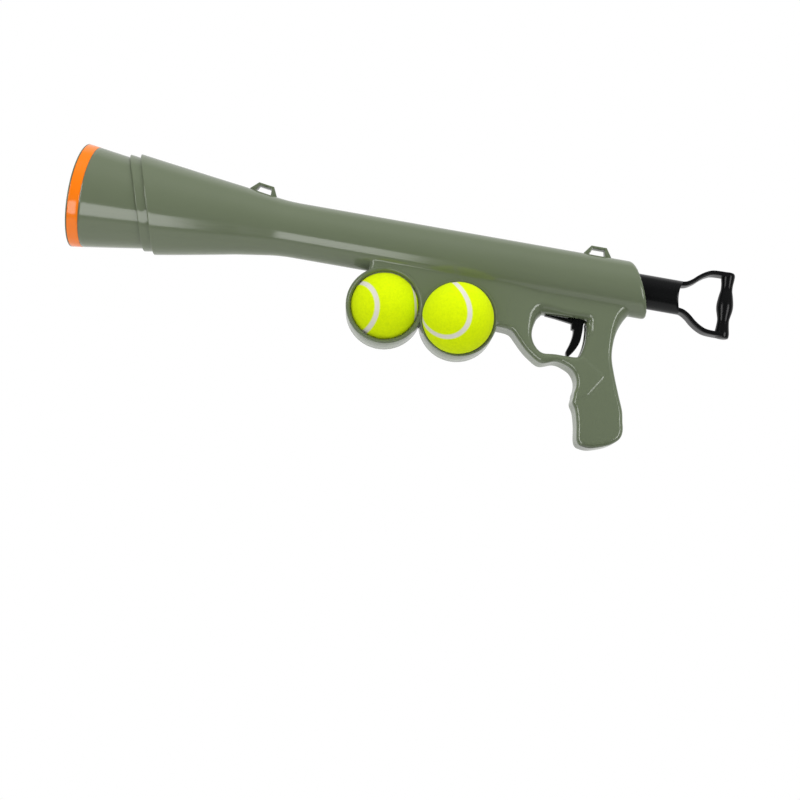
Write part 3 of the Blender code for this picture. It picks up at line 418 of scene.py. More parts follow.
def skin_of(field, xs, ys, zs, side):
    """The zero surface of a field on a grid: each cell that it crosses gets a point, the mean of
    the crossings on the cell's edges, and each crossed edge a face through its four cells. Points
    then slide down the field's slope onto the surface, and the seam's points stay in its plane."""
    values = field(*np.meshgrid(xs, ys, zs, indexing="ij"))
    shape = np.array(values.shape) - 1
    total = np.zeros((*shape, 3))
    count = np.zeros(shape)
    axes = (xs, ys, zs)
    crossings = []
    for axis in range(3):
        low = [slice(None)] * 3
        high = [slice(None)] * 3
        low[axis], high[axis] = slice(None, -1), slice(1, None)
        a, b = values[tuple(low)], values[tuple(high)]
        crossed = np.argwhere((a < 0) != (b < 0))
        start = a[tuple(crossed.T)]
        share = start / (start - b[tuple(crossed.T)])
        place = np.stack([axes[i][crossed[:, i]] for i in range(3)], axis=1)
        place[:, axis] += share * (axes[axis][crossed[:, axis] + 1] - place[:, axis])
        others = [i for i in range(3) if i != axis]
        for du in (0, -1):
            for dv in (0, -1):
                cell = crossed.copy()
                cell[:, others[0]] += du
                cell[:, others[1]] += dv
                good = ((cell >= 0) & (cell < shape)).all(axis=1)
                np.add.at(total, tuple(cell[good].T), place[good])
                np.add.at(count, tuple(cell[good].T), 1)
        crossings.append((axis, others, crossed, start < 0))
    active = np.argwhere(count > 0)
    number = np.full(shape, -1)
    number[tuple(active.T)] = np.arange(len(active))
    points = total[tuple(active.T)] / count[tuple(active.T)][:, None]
    faces = []
    for axis, others, crossed, falling in crossings:
        keep = ((crossed[:, others] > 0) & (crossed[:, others] < shape[others])).all(axis=1)
        crossed, falling = crossed[keep], falling[keep]
        corners = []
        for du, dv in ((0, 0), (-1, 0), (-1, -1), (0, -1)):
            cell = crossed.copy()
            cell[:, others[0]] += du
            cell[:, others[1]] += dv
            corners.append(number[tuple(cell.T)])
        quads = np.stack(corners, axis=1)
        back = falling if axis == 1 else ~falling
        quads[back] = quads[back][:, ::-1]
        faces += quads.tolist()
    seam = active[:, 1] == (shape[1] - 1 if side < 0 else 0)
    points[seam, 1] = side * SEAM
    for _ in range(4):
        down = slope(field, points)
        down[seam, 1] = 0
        size = np.maximum((down ** 2).sum(axis=1, keepdims=True), 0.25)
        points -= np.clip(field(*points.T)[:, None] * down / size, -0.4, 0.4)
        points[:, 1] = side * np.maximum(side * points[:, 1], SEAM)
    return points, faces


def closed_at_seam(part):
    """Fills the open loops of a part, which all lie in the seam's plane, with flat faces."""
    points, faces = part
    mesh = bpy.data.meshes.new("seam")
    mesh.from_pydata(points.tolist(), [], faces)
    bm = bmesh.new()
    bm.from_mesh(mesh)
    bmesh.ops.triangle_fill(bm, use_beauty=True, use_dissolve=False,
                            edges=[edge for edge in bm.edges if edge.is_boundary])
    bmesh.ops.recalc_face_normals(bm, faces=bm.faces)
    made = ([tuple(v.co) for v in bm.verts], [[v.index for v in face.verts] for face in bm.faces])
    bm.free()
    bpy.data.meshes.remove(mesh)
    return outward(made)


def rear_shell(side):
    """The rear part of one shell, from the joint with the bell to the slanted end."""
    xs = np.arange(JOINT_X - JOINT_LAP - CELL / 2, FIELD_END, CELL)
    ys = np.sort(side * (np.arange(FIELD_LAYERS) - 0.5) * CELL)
    zs = np.arange(*FIELD_Z, CELL)
    return closed_at_seam(skin_of(lambda x, y, z: moulding(x, y, z, side), xs, ys, zs, side))


def ball_ring(side, centre_x, lip):
    """Half of a ball ring: a profile of y and radius turned about the ring's own line. The near
    half ends in a lip that keeps the ball from falling through."""
    arc = np.radians(np.linspace(0, 90, 5))
    profile = [(SEAM, RING_BORE)]
    if side < 0:
        profile += [(11.5, RING_BORE), (12.5, lip + 0.4), (13.2, lip), (14.2, lip),
                    (RING_HALF - 0.6, lip + 1.5), (RING_HALF - 0.15, lip + 2.0)]
    else:
        profile += [(RING_HALF - 0.4, RING_BORE), (RING_HALF, RING_BORE + 0.4)]
    profile += [(RING_HALF - RING_EDGE * (1 - math.cos(a)),
                 RING_RADIUS - RING_EDGE * (1 - math.sin(a))) for a in arc]
    profile += [(SEAM, RING_RADIUS)]
    turn = np.linspace(0, 2 * math.pi, RING_SIDES, endpoint=False)
    rows = [np.stack([centre_x + r * np.cos(turn), np.full(RING_SIDES, side * y),
                      RING_Z + r * np.sin(turn)], axis=1) for y, r in profile]
    return outward(grid(rows, stack=True))


LOOP_X = (162.0, 467.8)
LOOP_HALF = 4.5
LOOP_LENGTH = 25.0
LOOP_TOP = 14.0
LOOP_HEIGHT = 8.1


def reach(outline, centre, angles):
    """How far a closed outline lies from a centre in each direction: the ray meets a straight
    piece where the ratios of the cross products fall on it."""
    start = np.asarray(outline) - centre
    step = np.roll(start, -1, axis=0) - start
    way = np.stack([np.cos(angles), np.sin(angles)], axis=1)[:, None]
    base = way[..., 0] * step[:, 1] - way[..., 1] * step[:, 0]
    base = np.where(np.abs(base) < 1e-9, 1e-9, base)
    far = (start[:, 0] * step[:, 1] - start[:, 1] * step[:, 0]) / base
    share = (start[:, 0] * way[..., 1] - start[:, 1] * way[..., 0]) / base
    hit = (far > 0) & (share > -1e-6) & (share < 1 + 1e-6)
    return np.where(hit, far, 1e9).min(axis=1)


def sling_loop(side, x, base):
    """Half of a trapezoid loop that stands square to the slope under it. Its outline and its
    slot are read in the same directions, so that a profile across the loop can join them."""
    half = LOOP_LENGTH / 2
    lean = 0.4 + LOOP_HEIGHT * float(base(x - half) - base(x + half)) / LOOP_LENGTH
    outer = [(x - half, base(x - half) - 1.6), (x + half, base(x + half) - 1.6),
             (x + half, base(x + half) + 0.3)]
    for top in (x + lean + LOOP_TOP / 2, x + lean - LOOP_TOP / 2):
        outer.append((top, base(top) + LOOP_HEIGHT))
    outer.append((x - half, base(x - half) + 0.3))
    inner = [(x + u + lean * w, base(x + u) + LOOP_HEIGHT * w)
             for u, w in ((-7.4, -0.05), (7.0, -0.05), (5.4, 0.71), (-5.3, 0.71))]
    outer, inner = (np.array(flat, float) for flat in (outer, inner))
    centre = inner.mean(axis=0)
    corners = np.concatenate([outer, inner]) - centre
    angles = np.concatenate([np.arctan2(corners[:, 1], corners[:, 0]) + turn
                             for turn in (-0.03, 0.0, 0.03)])
    angles = np.unique(np.round(np.concatenate([angles, np.linspace(-3.1, 3.1, 60)]), 4))
    way = np.stack([np.cos(angles), np.sin(angles)], axis=1)
    rows = []
    for outline, sign in ((outer, -1), (inner, 1)):
        arc = [(SEAM, 0.0), (LOOP_HALF - 0.7, 0.0), (LOOP_HALF - 0.2, 0.2), (LOOP_HALF, 0.7)]
        for y, move in (arc if sign < 0 else arc[::-1]):
            flat = centre + way * (reach(outline, centre, angles) + sign * move)[:, None]
            rows.append(np.stack([flat[:, 0], np.full(len(flat), side * y), flat[:, 1]], axis=1))
    return outward(grid(rows, stack=True))


DRIFT_SCALE = 14
GRAIN_SCALE = 900
GRAIN_DEPTH = 0.0002


def new_material(name):
    """A material with its nodes, their links and its shader."""
    made = bpy.data.materials.new(name)
    made.use_nodes = True
    nodes = made.node_tree.nodes
    return made, nodes, made.node_tree.links, nodes["Principled BSDF"]


def noise(nodes, links, scale, detail):
    """A noise texture on the object's own coordinates."""
    place = nodes.new("ShaderNodeTexCoord")
    made = nodes.new("ShaderNodeTexNoise")
    made.inputs["Scale"].default_value = scale
    made.inputs["Detail"].default_value = detail
    links.new(place.outputs["Object"], made.inputs["Vector"])
    return made


def bump(nodes, links, height, strength, distance):
    """Gives the shader a bump from a texture's height, in metres of rise for a height of 1."""
    made = nodes.new("ShaderNodeBump")
    made.inputs["Strength"].default_value = strength
    made.inputs["Distance"].default_value = distance
    links.new(height.outputs["Fac"], made.inputs["Height"])
    links.new(made.outputs["Normal"], nodes["Principled BSDF"].inputs["Normal"])


def gloss(name, colour, roughness, grain=0.0, shade=0.06, metallic=0.0, shine=0.5):
    """A moulded finish: the colour and the roughness drift a little over centimetres, and a
    faint bump of fine noise breaks up reflections where there is a grain."""
    made, nodes, links, shader = new_material(name)
    shader.inputs["Metallic"].default_value = metallic
    shader.inputs["Specular IOR Level"].default_value = shine
    drift = noise(nodes, links, DRIFT_SCALE, 3)
    mix = nodes.new("ShaderNodeMix")
    mix.data_type = "RGBA"
    mix.inputs["A"].default_value = (*[c * (1 - shade) for c in colour], 1)
    mix.inputs["B"].default_value = (*[min(c * (1 + shade), 1) for c in colour], 1)
    links.new(drift.outputs["Fac"], mix.inputs["Factor"])
    links.new(mix.outputs["Result"], shader.inputs["Base Color"])
    rough = nodes.new("ShaderNodeMapRange")
    rough.inputs["To Min"].default_value = roughness * 0.85
    rough.inputs["To Max"].default_value = roughness * 1.15
    links.new(drift.outputs["Fac"], rough.inputs["Value"])
    links.new(rough.outputs["Result"], shader.inputs["Roughness"])
    if grain:
        bump(nodes, links, noise(nodes, links, GRAIN_SCALE, 2), grain, GRAIN_DEPTH)
    return made


green = gloss("green_gloss_plastic", (0.139, 0.169, 0.106), 0.13, grain=0.02, shade=0.04)
for name, side in (("left_shell", -1), ("right_shell", 1)):
    shell = make_piece(name + "_moulding", [
        bell_shell(side), rear_shell(side),
        *[ball_ring(side, x, lip) for x, lip in zip(RING_X, LIP_RADII)],
        sling_loop(side, LOOP_X[0], bell_radius),
        sling_loop(side, LOOP_X[1], lambda x: BARREL_RADIUS)], green, sharp=40)
    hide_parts(name)
    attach(shell, "root")


# Muzzle cone and band. The cone is a turned green moulding held between the shells; the orange
# band is a soft ring let into a groove behind its rim.
BAND_START = 1.2
BAND_WIDTH = 9.2
BAND_THICK = 0.8
TURN = 192
RIM_BACK = 0.8
RIM_SLANT = 0.027
RIM_BOW = 1.3
BOW_END = 45.0
BOW_FADE = 33


def rim_bow(x, y, z):
    """How far the rim stands back of its flat circle, in full at the rim and fading down the
    cone: a slight slant and a parabola across, as the collars behind it have."""
    full = RIM_BACK + RIM_SLANT * z - RIM_BOW * (y / RIM_RADIUS) ** 2
    return full * np.clip((BOW_END - x) / BOW_FADE, 0, 1)


def turned(profile, sides=TURN, sag=False, axis="X", at=(0, 0, 0), stack=True):
    """A profile of (along, radius) turned about an upright or lengthwise line: the two other
    axes are radius times cosine and sine. With sag the centre follows the bell's droop and the
    rim its bow. A profile that isn't stacked gets flat ends."""
    turn = np.linspace(0, 2 * math.pi, sides, endpoint=False)
    rows = []
    for along, radius in profile:
        low = droop(np.array(along)) if sag else 0
        wide, tall = radius * np.cos(turn), radius * np.sin(turn) + low
        flat = along + (rim_bow(along, wide, tall) if sag else 0 * turn)
        rows.append(np.stack((flat, wide, tall) if axis == "X" else (wide, tall, flat), axis=1)
                    + at)
    return outward(grid(rows, stack=True)) if stack else capped(rows)


def under_cone(rows):
    """A profile of (along, radius) from rows of (along, depth under the plain cone)."""
    return [(along, cone_radius(along) - depth) for along, depth in rows]


groove_end = BAND_START + BAND_WIDTH + 0.4
cone = under_cone([(0.9, 0.0), (BAND_START, 0.25), (BAND_START, BAND_THICK),
                   (groove_end, BAND_THICK), (groove_end, 0.2), (groove_end + 0.3, 0.0),
                   *[(x, 0.0) for x in np.linspace(14, CONE_LENGTH - FIT, 24)],
                   *[(x, CONE_WALL) for x in np.linspace(CONE_LENGTH - FIT, 1.2, 24)]])
for angle in np.radians([30, 60, 90, 120, 150]):
    cone.append((1.0 - 1.0 * math.sin(angle), cone_radius(0) - CONE_WALL / 2
                 - CONE_WALL / 2 * math.cos(angle)))
muzzle = make_piece("muzzle_cone_moulding", [turned(cone, sag=True)], green, sharp=50)
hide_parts("muzzle_cone")
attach(muzzle, "root")

orange = gloss("orange_soft_plastic", (1.0, 0.215, 0.004), 0.13, shade=0.02)
start = BAND_START + 0.15
stop = BAND_START + BAND_WIDTH + 0.25
band = under_cone([(start, 0.45), (start + 0.1, 0.08), (start + 0.4, -0.04), (stop - 0.4, -0.04),
                   (stop - 0.1, 0.08), (stop, 0.45), (stop, BAND_THICK - 0.1),
                   (start, BAND_THICK - 0.1)])
rim_band = make_piece("muzzle_band_ring", [turned(band, sag=True)], orange, sharp=50)
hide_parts("muzzle_band")
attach(rim_band, "root")


# Barrel liner and rear bushing. The pale plastic liner guides the plunger and opens to a funnel
# behind the ball; the black plastic bushing guides the pull tube where it leaves the shells.
pale = gloss("pale_liner_plastic", (0.55, 0.57, 0.52), 0.4, shade=0.03)
black = gloss("black_satin_plastic", (0.0042, 0.0045, 0.0048), 0.22, grain=0.01, shade=0.10,
              shine=0.20)
rubber = gloss("black_rubber", (0.012, 0.012, 0.012), 0.7, grain=0.3, shade=0.10)
steel = gloss("bright_steel", (0.60, 0.60, 0.61), 0.28, metallic=1.0, shade=0.03)
LINER_RADIUS = BORE_RADIUS - FIT
LINER_BORE = LINER_RADIUS - 1.6
liner = make_piece("barrel_liner_tube", [turned(
    [(128.0, 30.2), (128.6, 30.3), (146.0, LINER_RADIUS), (299.7, LINER_RADIUS),
     (299.7, LINER_BORE), (146.0, LINER_BORE), (128.6, 28.5), (128.0, 28.9)],
    sides=96, sag=True)], pale)
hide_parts("barrel_liner")
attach(liner, "root")
bushing = make_piece("rear_bushing_ring", [turned(
    [(484.0, 21.6), (484.4, 22.0), (495.2, 22.0), (496.0, 21.2), (496.0, 16.4), (495.2, 15.6),
     (484.8, 15.6), (484.0, 16.2)], sides=96)], black)
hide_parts("rear_bushing")
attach(bushing, "root")


# Plunger's pad, pull tube and main spring: the rubber pad strikes the ball, the handle pulls the
# long black plastic tube, and the steel spring between plunger and seat drives both forward.
TUBE_RADIUS = 15.3
TUBE_BORE = 13.3
TUBE_START = 312.9
TUBE_END = 540.2
pad = make_piece("plunger_pad", [turned(
    [(143.4, 19.2), (144.0, 19.8), (147.0, 19.8), (147.0, 3.3), (143.4, 3.3), (143.0, 4.0),
     (143.0, 18.6)], sides=96)], rubber)
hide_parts("plunger_bumper")
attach(pad, "plunger")
tube = make_piece("pull_tube_sleeve", [turned(
    [(TUBE_START, TUBE_RADIUS), *[(x, TUBE_RADIUS) for x in np.linspace(330, TUBE_END, 20)],
     (TUBE_END, TUBE_BORE), (TUBE_START, TUBE_BORE)], sides=128)], black)
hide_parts("pull_tube")
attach(tube, "plunger")

SPRING_START = 155.4
SPRING_END = 299.7
COIL_STEPS = 24
WIRE_SIDES = 8


def coil(start, end, radius, wire, turns, across=0.0, low=0.0, axis="X"):
    """A coil spring: a point goes round the circle at a steady rate while it moves along the
    line, and a small circle is carried along that path."""
    turn = np.linspace(0, turns * 2 * math.pi, turns * COIL_STEPS + 1)
    along = np.linspace(start + wire, end - wire, len(turn))
    path = np.stack([along, radius * np.cos(turn), radius * np.sin(turn)], axis=1)
    ahead = np.gradient(path, axis=0)
    ahead /= np.linalg.norm(ahead, axis=1, keepdims=True)
    out = np.stack([turn * 0, np.cos(turn), np.sin(turn)], axis=1)
    up = np.cross(ahead, out)
    up /= np.linalg.norm(up, axis=1, keepdims=True)
    ring = np.linspace(0, 2 * math.pi, WIRE_SIDES, endpoint=False)
    rows = path[:, None] + wire * (np.cos(ring)[None, :, None] * out[:, None]
                                   + np.sin(ring)[None, :, None] * up[:, None])
    if axis == "Z":
        rows = rows[:, :, [1, 2, 0]]
    return capped(rows + (across, 0, low))


main_spring = make_piece("main_spring_coil",
                         [coil(SPRING_START, SPRING_END, radius=13.5, wire=1.1, turns=14)], steel)
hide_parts("main_spring")
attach(main_spring, "root")
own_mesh(main_spring)


# D-handle: one black moulding. A plug sits in the tube, two flat straps bow out from its collar,
# and a lobed bar joins them.
HANDLE_HALF = 29.6
STRAP_X = 543.3
STRAP_LENGTH = 45.0
STRAP_THICK = 2.1
STRAP_WIDE = 7.2
STRAP_CORNER = 0.35
STRAP_SIDES = 32
BAR_X = 589.0
STRAP = [(-0.02, 0.37), (0.05, 0.40), (0.18, 0.44), (0.30, 0.55), (0.42, 0.71),
         (0.55, 0.84), (0.70, 0.92), (1.00, 0.935)]
BAR = [(-30.3, 3.6), (-30.0, 5.2), (-29.0, 6.2), (-25.5, 6.5), (-21.5, 6.0), (-17.0, 5.5),
       (-13.0, 5.4), (-8.5, 6.3), (-4.5, 7.2), (-0.5, 7.5), (3.5, 7.2), (9.0, 6.3), (14.0, 5.3),
       (19.0, 5.3), (23.5, 5.9), (27.5, 6.2), (29.6, 5.6), (30.2, 4.4), (30.4, 3.0)]
BAR_LEAN = 0.03
LEAN_FROM = 560
LEAN_RAMP = 25
COLLAR_CURVE = 5.0
COLLAR_DIP = 2.2
COLLAR_FROM = 540.6
COLLAR_RAMP = 5.0


def strap(side):
    """A flat strap: a superellipse, wider than thick, carried along a smooth line. Cosine and
    sine are raised to a small power, which squares the corners."""
    middle = smooth_line([(STRAP_X + STRAP_LENGTH * u, side * HANDLE_HALF * w) for u, w in STRAP],
                         8, False)
    ahead = np.gradient(middle, axis=0)
    ahead /= np.linalg.norm(ahead, axis=1, keepdims=True)
    normal = np.stack([-ahead[:, 1], ahead[:, 0]], axis=1)
    ring = np.linspace(0, 2 * math.pi, STRAP_SIDES, endpoint=False)
    thick = STRAP_THICK * np.sign(np.cos(ring)) * np.abs(np.cos(ring)) ** STRAP_CORNER
    wide = STRAP_WIDE * np.sign(np.sin(ring)) * np.abs(np.sin(ring)) ** STRAP_CORNER
    flat = middle[:, None] + normal[:, None] * thick[None, :, None]
    return capped(np.stack([flat[..., 0], np.broadcast_to(wide, flat.shape[:2]), flat[..., 1]],
                           axis=-1))


def leaned(part):
    """The same part leaned back towards its foot: x shrinks in proportion to height, in full at
    the bar and fading to nothing along the straps."""
    points, faces = part
    points[:, 0] -= BAR_LEAN * points[:, 2] * np.clip((points[:, 0] - LEAN_FROM) / LEAN_RAMP, 0, 1)
    return points, faces


def dipped(part):
    """The collar with its free end pulled back between the straps: by a parabola of height, in
    proportion to how far the end stands out of the tube."""
    points, faces = part
    move = COLLAR_CURVE * (points[:, 2] / TUBE_RADIUS) ** 2 - COLLAR_DIP
    points[:, 0] += move * np.clip((points[:, 0] - COLLAR_FROM) / COLLAR_RAMP, 0, 1)
    return points, faces


bar = smooth_line(BAR, 12, False)
handle = make_piece("pull_handle_moulding", [
    dipped(turned([(520.3, 12.4), (520.9, 13.0), (540.3, 13.0), (540.3, TUBE_RADIUS),
                   (543.0, TUBE_RADIUS), (545.2, TUBE_RADIUS), (545.8, 14.9), (546.0, 14.2),
                   (546.0, 9.0), (546.0, 3.0)], sides=96, stack=False)),
    leaned(strap(-1)), leaned(strap(1)),
    leaned(turned(bar.tolist(), sides=64, axis="Z", at=(BAR_X, 0, 0), stack=False))],
    black, sharp=50)
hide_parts("pull_handle")
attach(handle, "plunger")


# Trigger: a curved black blade on a steel pin, with an arm behind the pin that lifts the sear
# and a flat black plate in front that closes its slot. The plate runs along the guard hole's
# ceiling as painted shade: a black strip where that ceiling lies in shade.
TRIGGER = [(-0.042, 0.045), (-0.030, 0.010), (0.000, 0.003), (0.072, 0.010), (0.120, 0.014),
           (0.120, 0.038), (0.070, 0.040), (0.026, 0.100), (0.012, 0.150), (0.012, 0.210),
           (0.010, 0.250), (0.002, 0.321), (-0.029, 0.396), (-0.071, 0.455), (-0.090, 0.462),
           (-0.100, 0.450), (-0.105, 0.421), (-0.082, 0.348), (-0.068, 0.277), (-0.069, 0.219),
           (-0.088, 0.212), (-0.094, 0.170), (-0.094, 0.138), (-0.060, 0.090)]
# The black plate along the guard hole's ceiling: painted shade, a dark strip standing in for the
# shade there.
SHADE_PLATE = [(-0.345, 0.129), (-0.335, 0.121), (0.000, 0.121), (0.006, 0.135), (0.000, 0.160),
          (-0.090, 0.162), (-0.150, 0.153), (-0.250, 0.140), (-0.335, 0.132)]


def blade(outline, half, edge):
    """An outline given thickness: it is pulled in along its normals as it nears either side, by
    a quarter circle of the edge's radius."""
    ahead = np.roll(outline, -1, axis=0) - np.roll(outline, 1, axis=0)
    ahead /= np.linalg.norm(ahead, axis=1, keepdims=True)
    area = np.sum(outline[:, 0] * np.roll(outline[:, 1], -1)
                  - np.roll(outline[:, 0], -1) * outline[:, 1])
    normal = math.copysign(1, area) * np.stack([-ahead[:, 1], ahead[:, 0]], axis=1)
    arc = np.radians(np.linspace(0, 90, 6))
    stations = [(-half + edge * (1 - math.cos(a)), edge * (1 - math.sin(a))) for a in arc]
    stations += [(-y, move) for y, move in reversed(stations)]
    rows = []
    for y, move in stations:
        flat = outline + normal * move
        rows.append(np.stack([flat[:, 0], np.full(len(flat), y), flat[:, 1]], axis=1))
    return capped(rows)


# The trigger piece also carries the black plate of painted shade along the hole's ceiling.
trigger = make_piece("trigger_blade", [blade(smooth_line(hand(TRIGGER), 5, True), 4.0, 0.7),
                                       blade(hand(SHADE_PLATE), 3.0, 0.4)], black, sharp=60)
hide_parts("trigger")
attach(trigger, "trigger")


# Return springs of the trigger and the sear: small steel coils in the lever room. Each stands
# against the shells with one end and is pressed by its lever at the other.
LEVER_COIL = {"radius": 2.45, "wire": 0.35, "turns": 6}
trigger_coil = make_piece("trigger_spring_coil", [coil(467.3, 479.2, low=-43.0, **LEVER_COIL)],
                          steel)
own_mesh(trigger_coil)
sear_coil = make_piece("sear_spring_coil",
                       [coil(-33.7, -23.2, across=446.5, axis="Z", **LEVER_COIL)], steel)
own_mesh(sear_coil)
for piece, name in ((trigger_coil, "trigger_spring"), (sear_coil, "sear_spring")):
    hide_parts(name)
    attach(piece, "root")


# Balls: rubber cores in yellow-green felt, with the grey seam that every such ball carries. One
# is pushed home behind its lip, the other rests on it.
BALL_RADIUS = 31.75
FELT_RISE = 0.25
SEAM_SINK = 0.45
SEAM_HALF = 1.9
SEAM_RAMP = 1.1
SEAM_SWING = (0.80, 0.20)
GREY_END = 2.6
GREY_RAMP = 0.8
FLECK_SCALE = 420
FLECK_DEPTH = 0.0004
WAVES = ((9, 0.10), (21, 0.08), (47, 0.06), (90, 0.05))
FACE_GRID = 96
BALLS = (("ball_1", (RING_X[0], -2.9, RING_Z), (87.2, 30.9, 22.4), 3),
         ("ball_2", (RING_X[1] - 1.0, -25.4, RING_Z - 2.0), (140.9, 34.7, 89.6), 8))


def felt_ball(centre, turns, seed):
    """A ball as a cube's six grids blown up to a sphere. The seam is the closed curve with
    x = a cos t + b cos 3t, y = a sin t - b sin 3t, z = c sin 2t; felt near it dips, and small
    waves from a sum of sines make the felt uneven."""
    ramp = np.tan(np.linspace(-math.pi / 4, math.pi / 4, FACE_GRID))
    u, v = np.meshgrid(ramp, ramp, indexing="ij")
    ones = np.ones_like(u)
    sheets, faces = [], []
    for i, (a, b, c) in enumerate(((ones, u, v), (-ones, v, u), (v, ones, u), (u, -ones, v),
                                   (u, v, ones), (v, u, -ones))):
        points, quads = grid(np.stack([a, b, c], -1), ring=False)
        sheets.append(points)
        faces += (np.array(quads) + i * FACE_GRID ** 2).tolist()
    unit = np.concatenate(sheets)
    unit /= np.linalg.norm(unit, axis=1, keepdims=True)
    t = np.linspace(0, 2 * math.pi, 500, endpoint=False)
    a, b = SEAM_SWING
    seam = np.stack([a * np.cos(t) + b * np.cos(3 * t), a * np.sin(t) - b * np.sin(3 * t),
                     2 * math.sqrt(a * b) * np.sin(2 * t)], axis=1)
    near = np.concatenate([(part @ seam.T).max(axis=1) for part in np.array_split(unit, SLICES)])
    away = BALL_RADIUS * np.arccos(np.clip(near, -1, 1))
    waves = np.zeros(len(unit))
    draw = np.random.default_rng(seed)
    for size, height in WAVES:
        for _ in range(4):
            way = draw.normal(size=3)
            waves += height / 2 * np.sin(size * unit @ (way / np.linalg.norm(way))
                                         + draw.uniform(0, 6.28))
    dip = np.clip((away - SEAM_HALF) / SEAM_RAMP, 0, 1)
    dip = dip * dip * (3 - 2 * dip)
    radius = BALL_RADIUS - SEAM_SINK + dip * (FELT_RISE + 0.2 * waves)
    for axis, angle in enumerate(np.radians(turns)):
        i, k = [n for n in range(3) if n != axis]
        spin = np.eye(3)
        spin[i, i] = spin[k, k] = math.cos(angle)
        spin[i, k] = math.sin(angle) * (1 if axis == 1 else -1)
        spin[k, i] = -spin[i, k]
        unit = unit @ spin.T
    return (unit * radius[:, None] + centre, faces), away


def felt():
    """Brushed felt: bright yellow-green, with a soft sheen, flecks and fine fibres as bump; the
    seam's attribute mixes in smooth grey rubber."""
    made, nodes, links, shader = new_material("yellow_green_felt")
    shader.inputs["Roughness"].default_value = 0.95
    shader.inputs["Specular IOR Level"].default_value = 0.07
    shader.inputs["Sheen Weight"].default_value = 0.06
    shader.inputs["Sheen Roughness"].default_value = 0.5
    shader.inputs["Sheen Tint"].default_value = (0.85, 1.0, 0.25, 1)
    fleck = noise(nodes, links, FLECK_SCALE, 5)
    fleck.inputs["Roughness"].default_value = 0.7
    ramp = nodes.new("ShaderNodeValToRGB")
    ramp.color_ramp.elements[0].position = 0.32
    ramp.color_ramp.elements[0].color = (0.61, 0.80, 0.0, 1)
    ramp.color_ramp.elements[1].position = 0.72
    ramp.color_ramp.elements[1].color = (0.74, 0.91, 0.0, 1)
    links.new(fleck.outputs["Fac"], ramp.inputs["Fac"])
    seam = nodes.new("ShaderNodeAttribute")
    seam.attribute_name = "seam"
    grey = nodes.new("ShaderNodeMix")
    grey.data_type = "RGBA"
    grey.inputs["B"].default_value = (0.70, 0.68, 0.61, 1)
    links.new(seam.outputs["Fac"], grey.inputs["Factor"])
    links.new(ramp.outputs["Color"], grey.inputs["A"])
    links.new(grey.outputs["Result"], shader.inputs["Base Color"])
    bump(nodes, links, fleck, 0.4, FLECK_DEPTH)
    return made


felt_finish = felt()
for name, centre, turns, seed in BALLS:
    part, away = felt_ball(centre, turns, seed)
    ball = make_piece(name + "_felt", [part], felt_finish, sharp=180)
    mark = ball.data.attributes.new("seam", "FLOAT", "POINT")
    mark.data.foreach_set("value", np.clip((GREY_END - away) / GREY_RAMP, 0, 1).astype(np.float32))
    bm = bmesh.new()
    bm.from_mesh(ball.data)
    bmesh.ops.remove_doubles(bm, verts=bm.verts, dist=0.00002)
    bm.to_mesh(ball.data)
    bm.free()
    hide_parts(name)
    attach(ball, name)


# What stays as the frame has it, in its real finish: pins, screws, rod, sear and seats.
for finish, names in ((steel, ("trigger_pin", "sear_pin", "sear", "head_screw", "plunger_rod",
                               "rod_nut", "handle_screw", "body_screw_1", "body_screw_2",
                               "body_screw_3", "body_screw_4", "body_screw_5")),
                      (black, ("spring_seat", "plunger_head", "tube_plug")),
                      (rubber, ("buffer_ring",))):
    for name in names:
        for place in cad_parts[name].material_slots:
            place.material = finish


# Floor, light and camera: a pale matt floor, an even white room, one soft lamp overhead and three
# lamps that only gloss sees, for the long streak and the light on the edges.
FLOOR_HALF = 20
FLOOR_Z = -0.0005


def stage_plane(name, corners, finish):
    """A flat rectangle from its four corners, in frame metres."""
    mesh = bpy.data.meshes.new(name)
    mesh.from_pydata(corners, [], [(0, 1, 2, 3)])
    mesh.materials.append(finish)
    made = bpy.data.objects.new(name, mesh)
    bpy.context.scene.collection.objects.link(made)
    return made


def combined(nodes, links, operation, a, b):
    """Two values combined by a math node."""
    made = nodes.new("ShaderNodeMath")
    made.operation = operation
    links.new(a, made.inputs[0])
    links.new(b, made.inputs[1])
    return made.outputs["Value"]


def floor_finish():
    """Pale matt floor. The camera looks up from under it, so it lets camera rays through from
    below, and lets shadow and glossy rays through to the low lights."""
    made, nodes, links, shader = new_material("pale_floor")
    shader.inputs["Base Color"].default_value = (0.72, 0.72, 0.71, 1)
    shader.inputs["Roughness"].default_value = 0.8
    shader.inputs["Specular IOR Level"].default_value = 0
    clear = nodes.new("ShaderNodeBsdfTransparent")
    path = nodes.new("ShaderNodeLightPath")
    side = nodes.new("ShaderNodeNewGeometry")
    through = combined(nodes, links, "MULTIPLY", path.outputs["Is Camera Ray"],
                       side.outputs["Backfacing"])
    for ray in ("Is Shadow Ray", "Is Glossy Ray"):
        through = combined(nodes, links, "MAXIMUM", through, path.outputs[ray])
    mix = nodes.new("ShaderNodeMixShader")
    links.new(through, mix.inputs["Fac"])
    links.new(shader.outputs["BSDF"], mix.inputs[1])
    links.new(clear.outputs["BSDF"], mix.inputs[2])
    links.new(mix.outputs["Shader"], nodes["Material Output"].inputs["Surface"])
    return made


stage_plane("floor", [(x * FLOOR_HALF, y * FLOOR_HALF, FLOOR_Z)
                      for x, y in ((-1, -1), (1, -1), (1, 1), (-1, 1))], floor_finish())


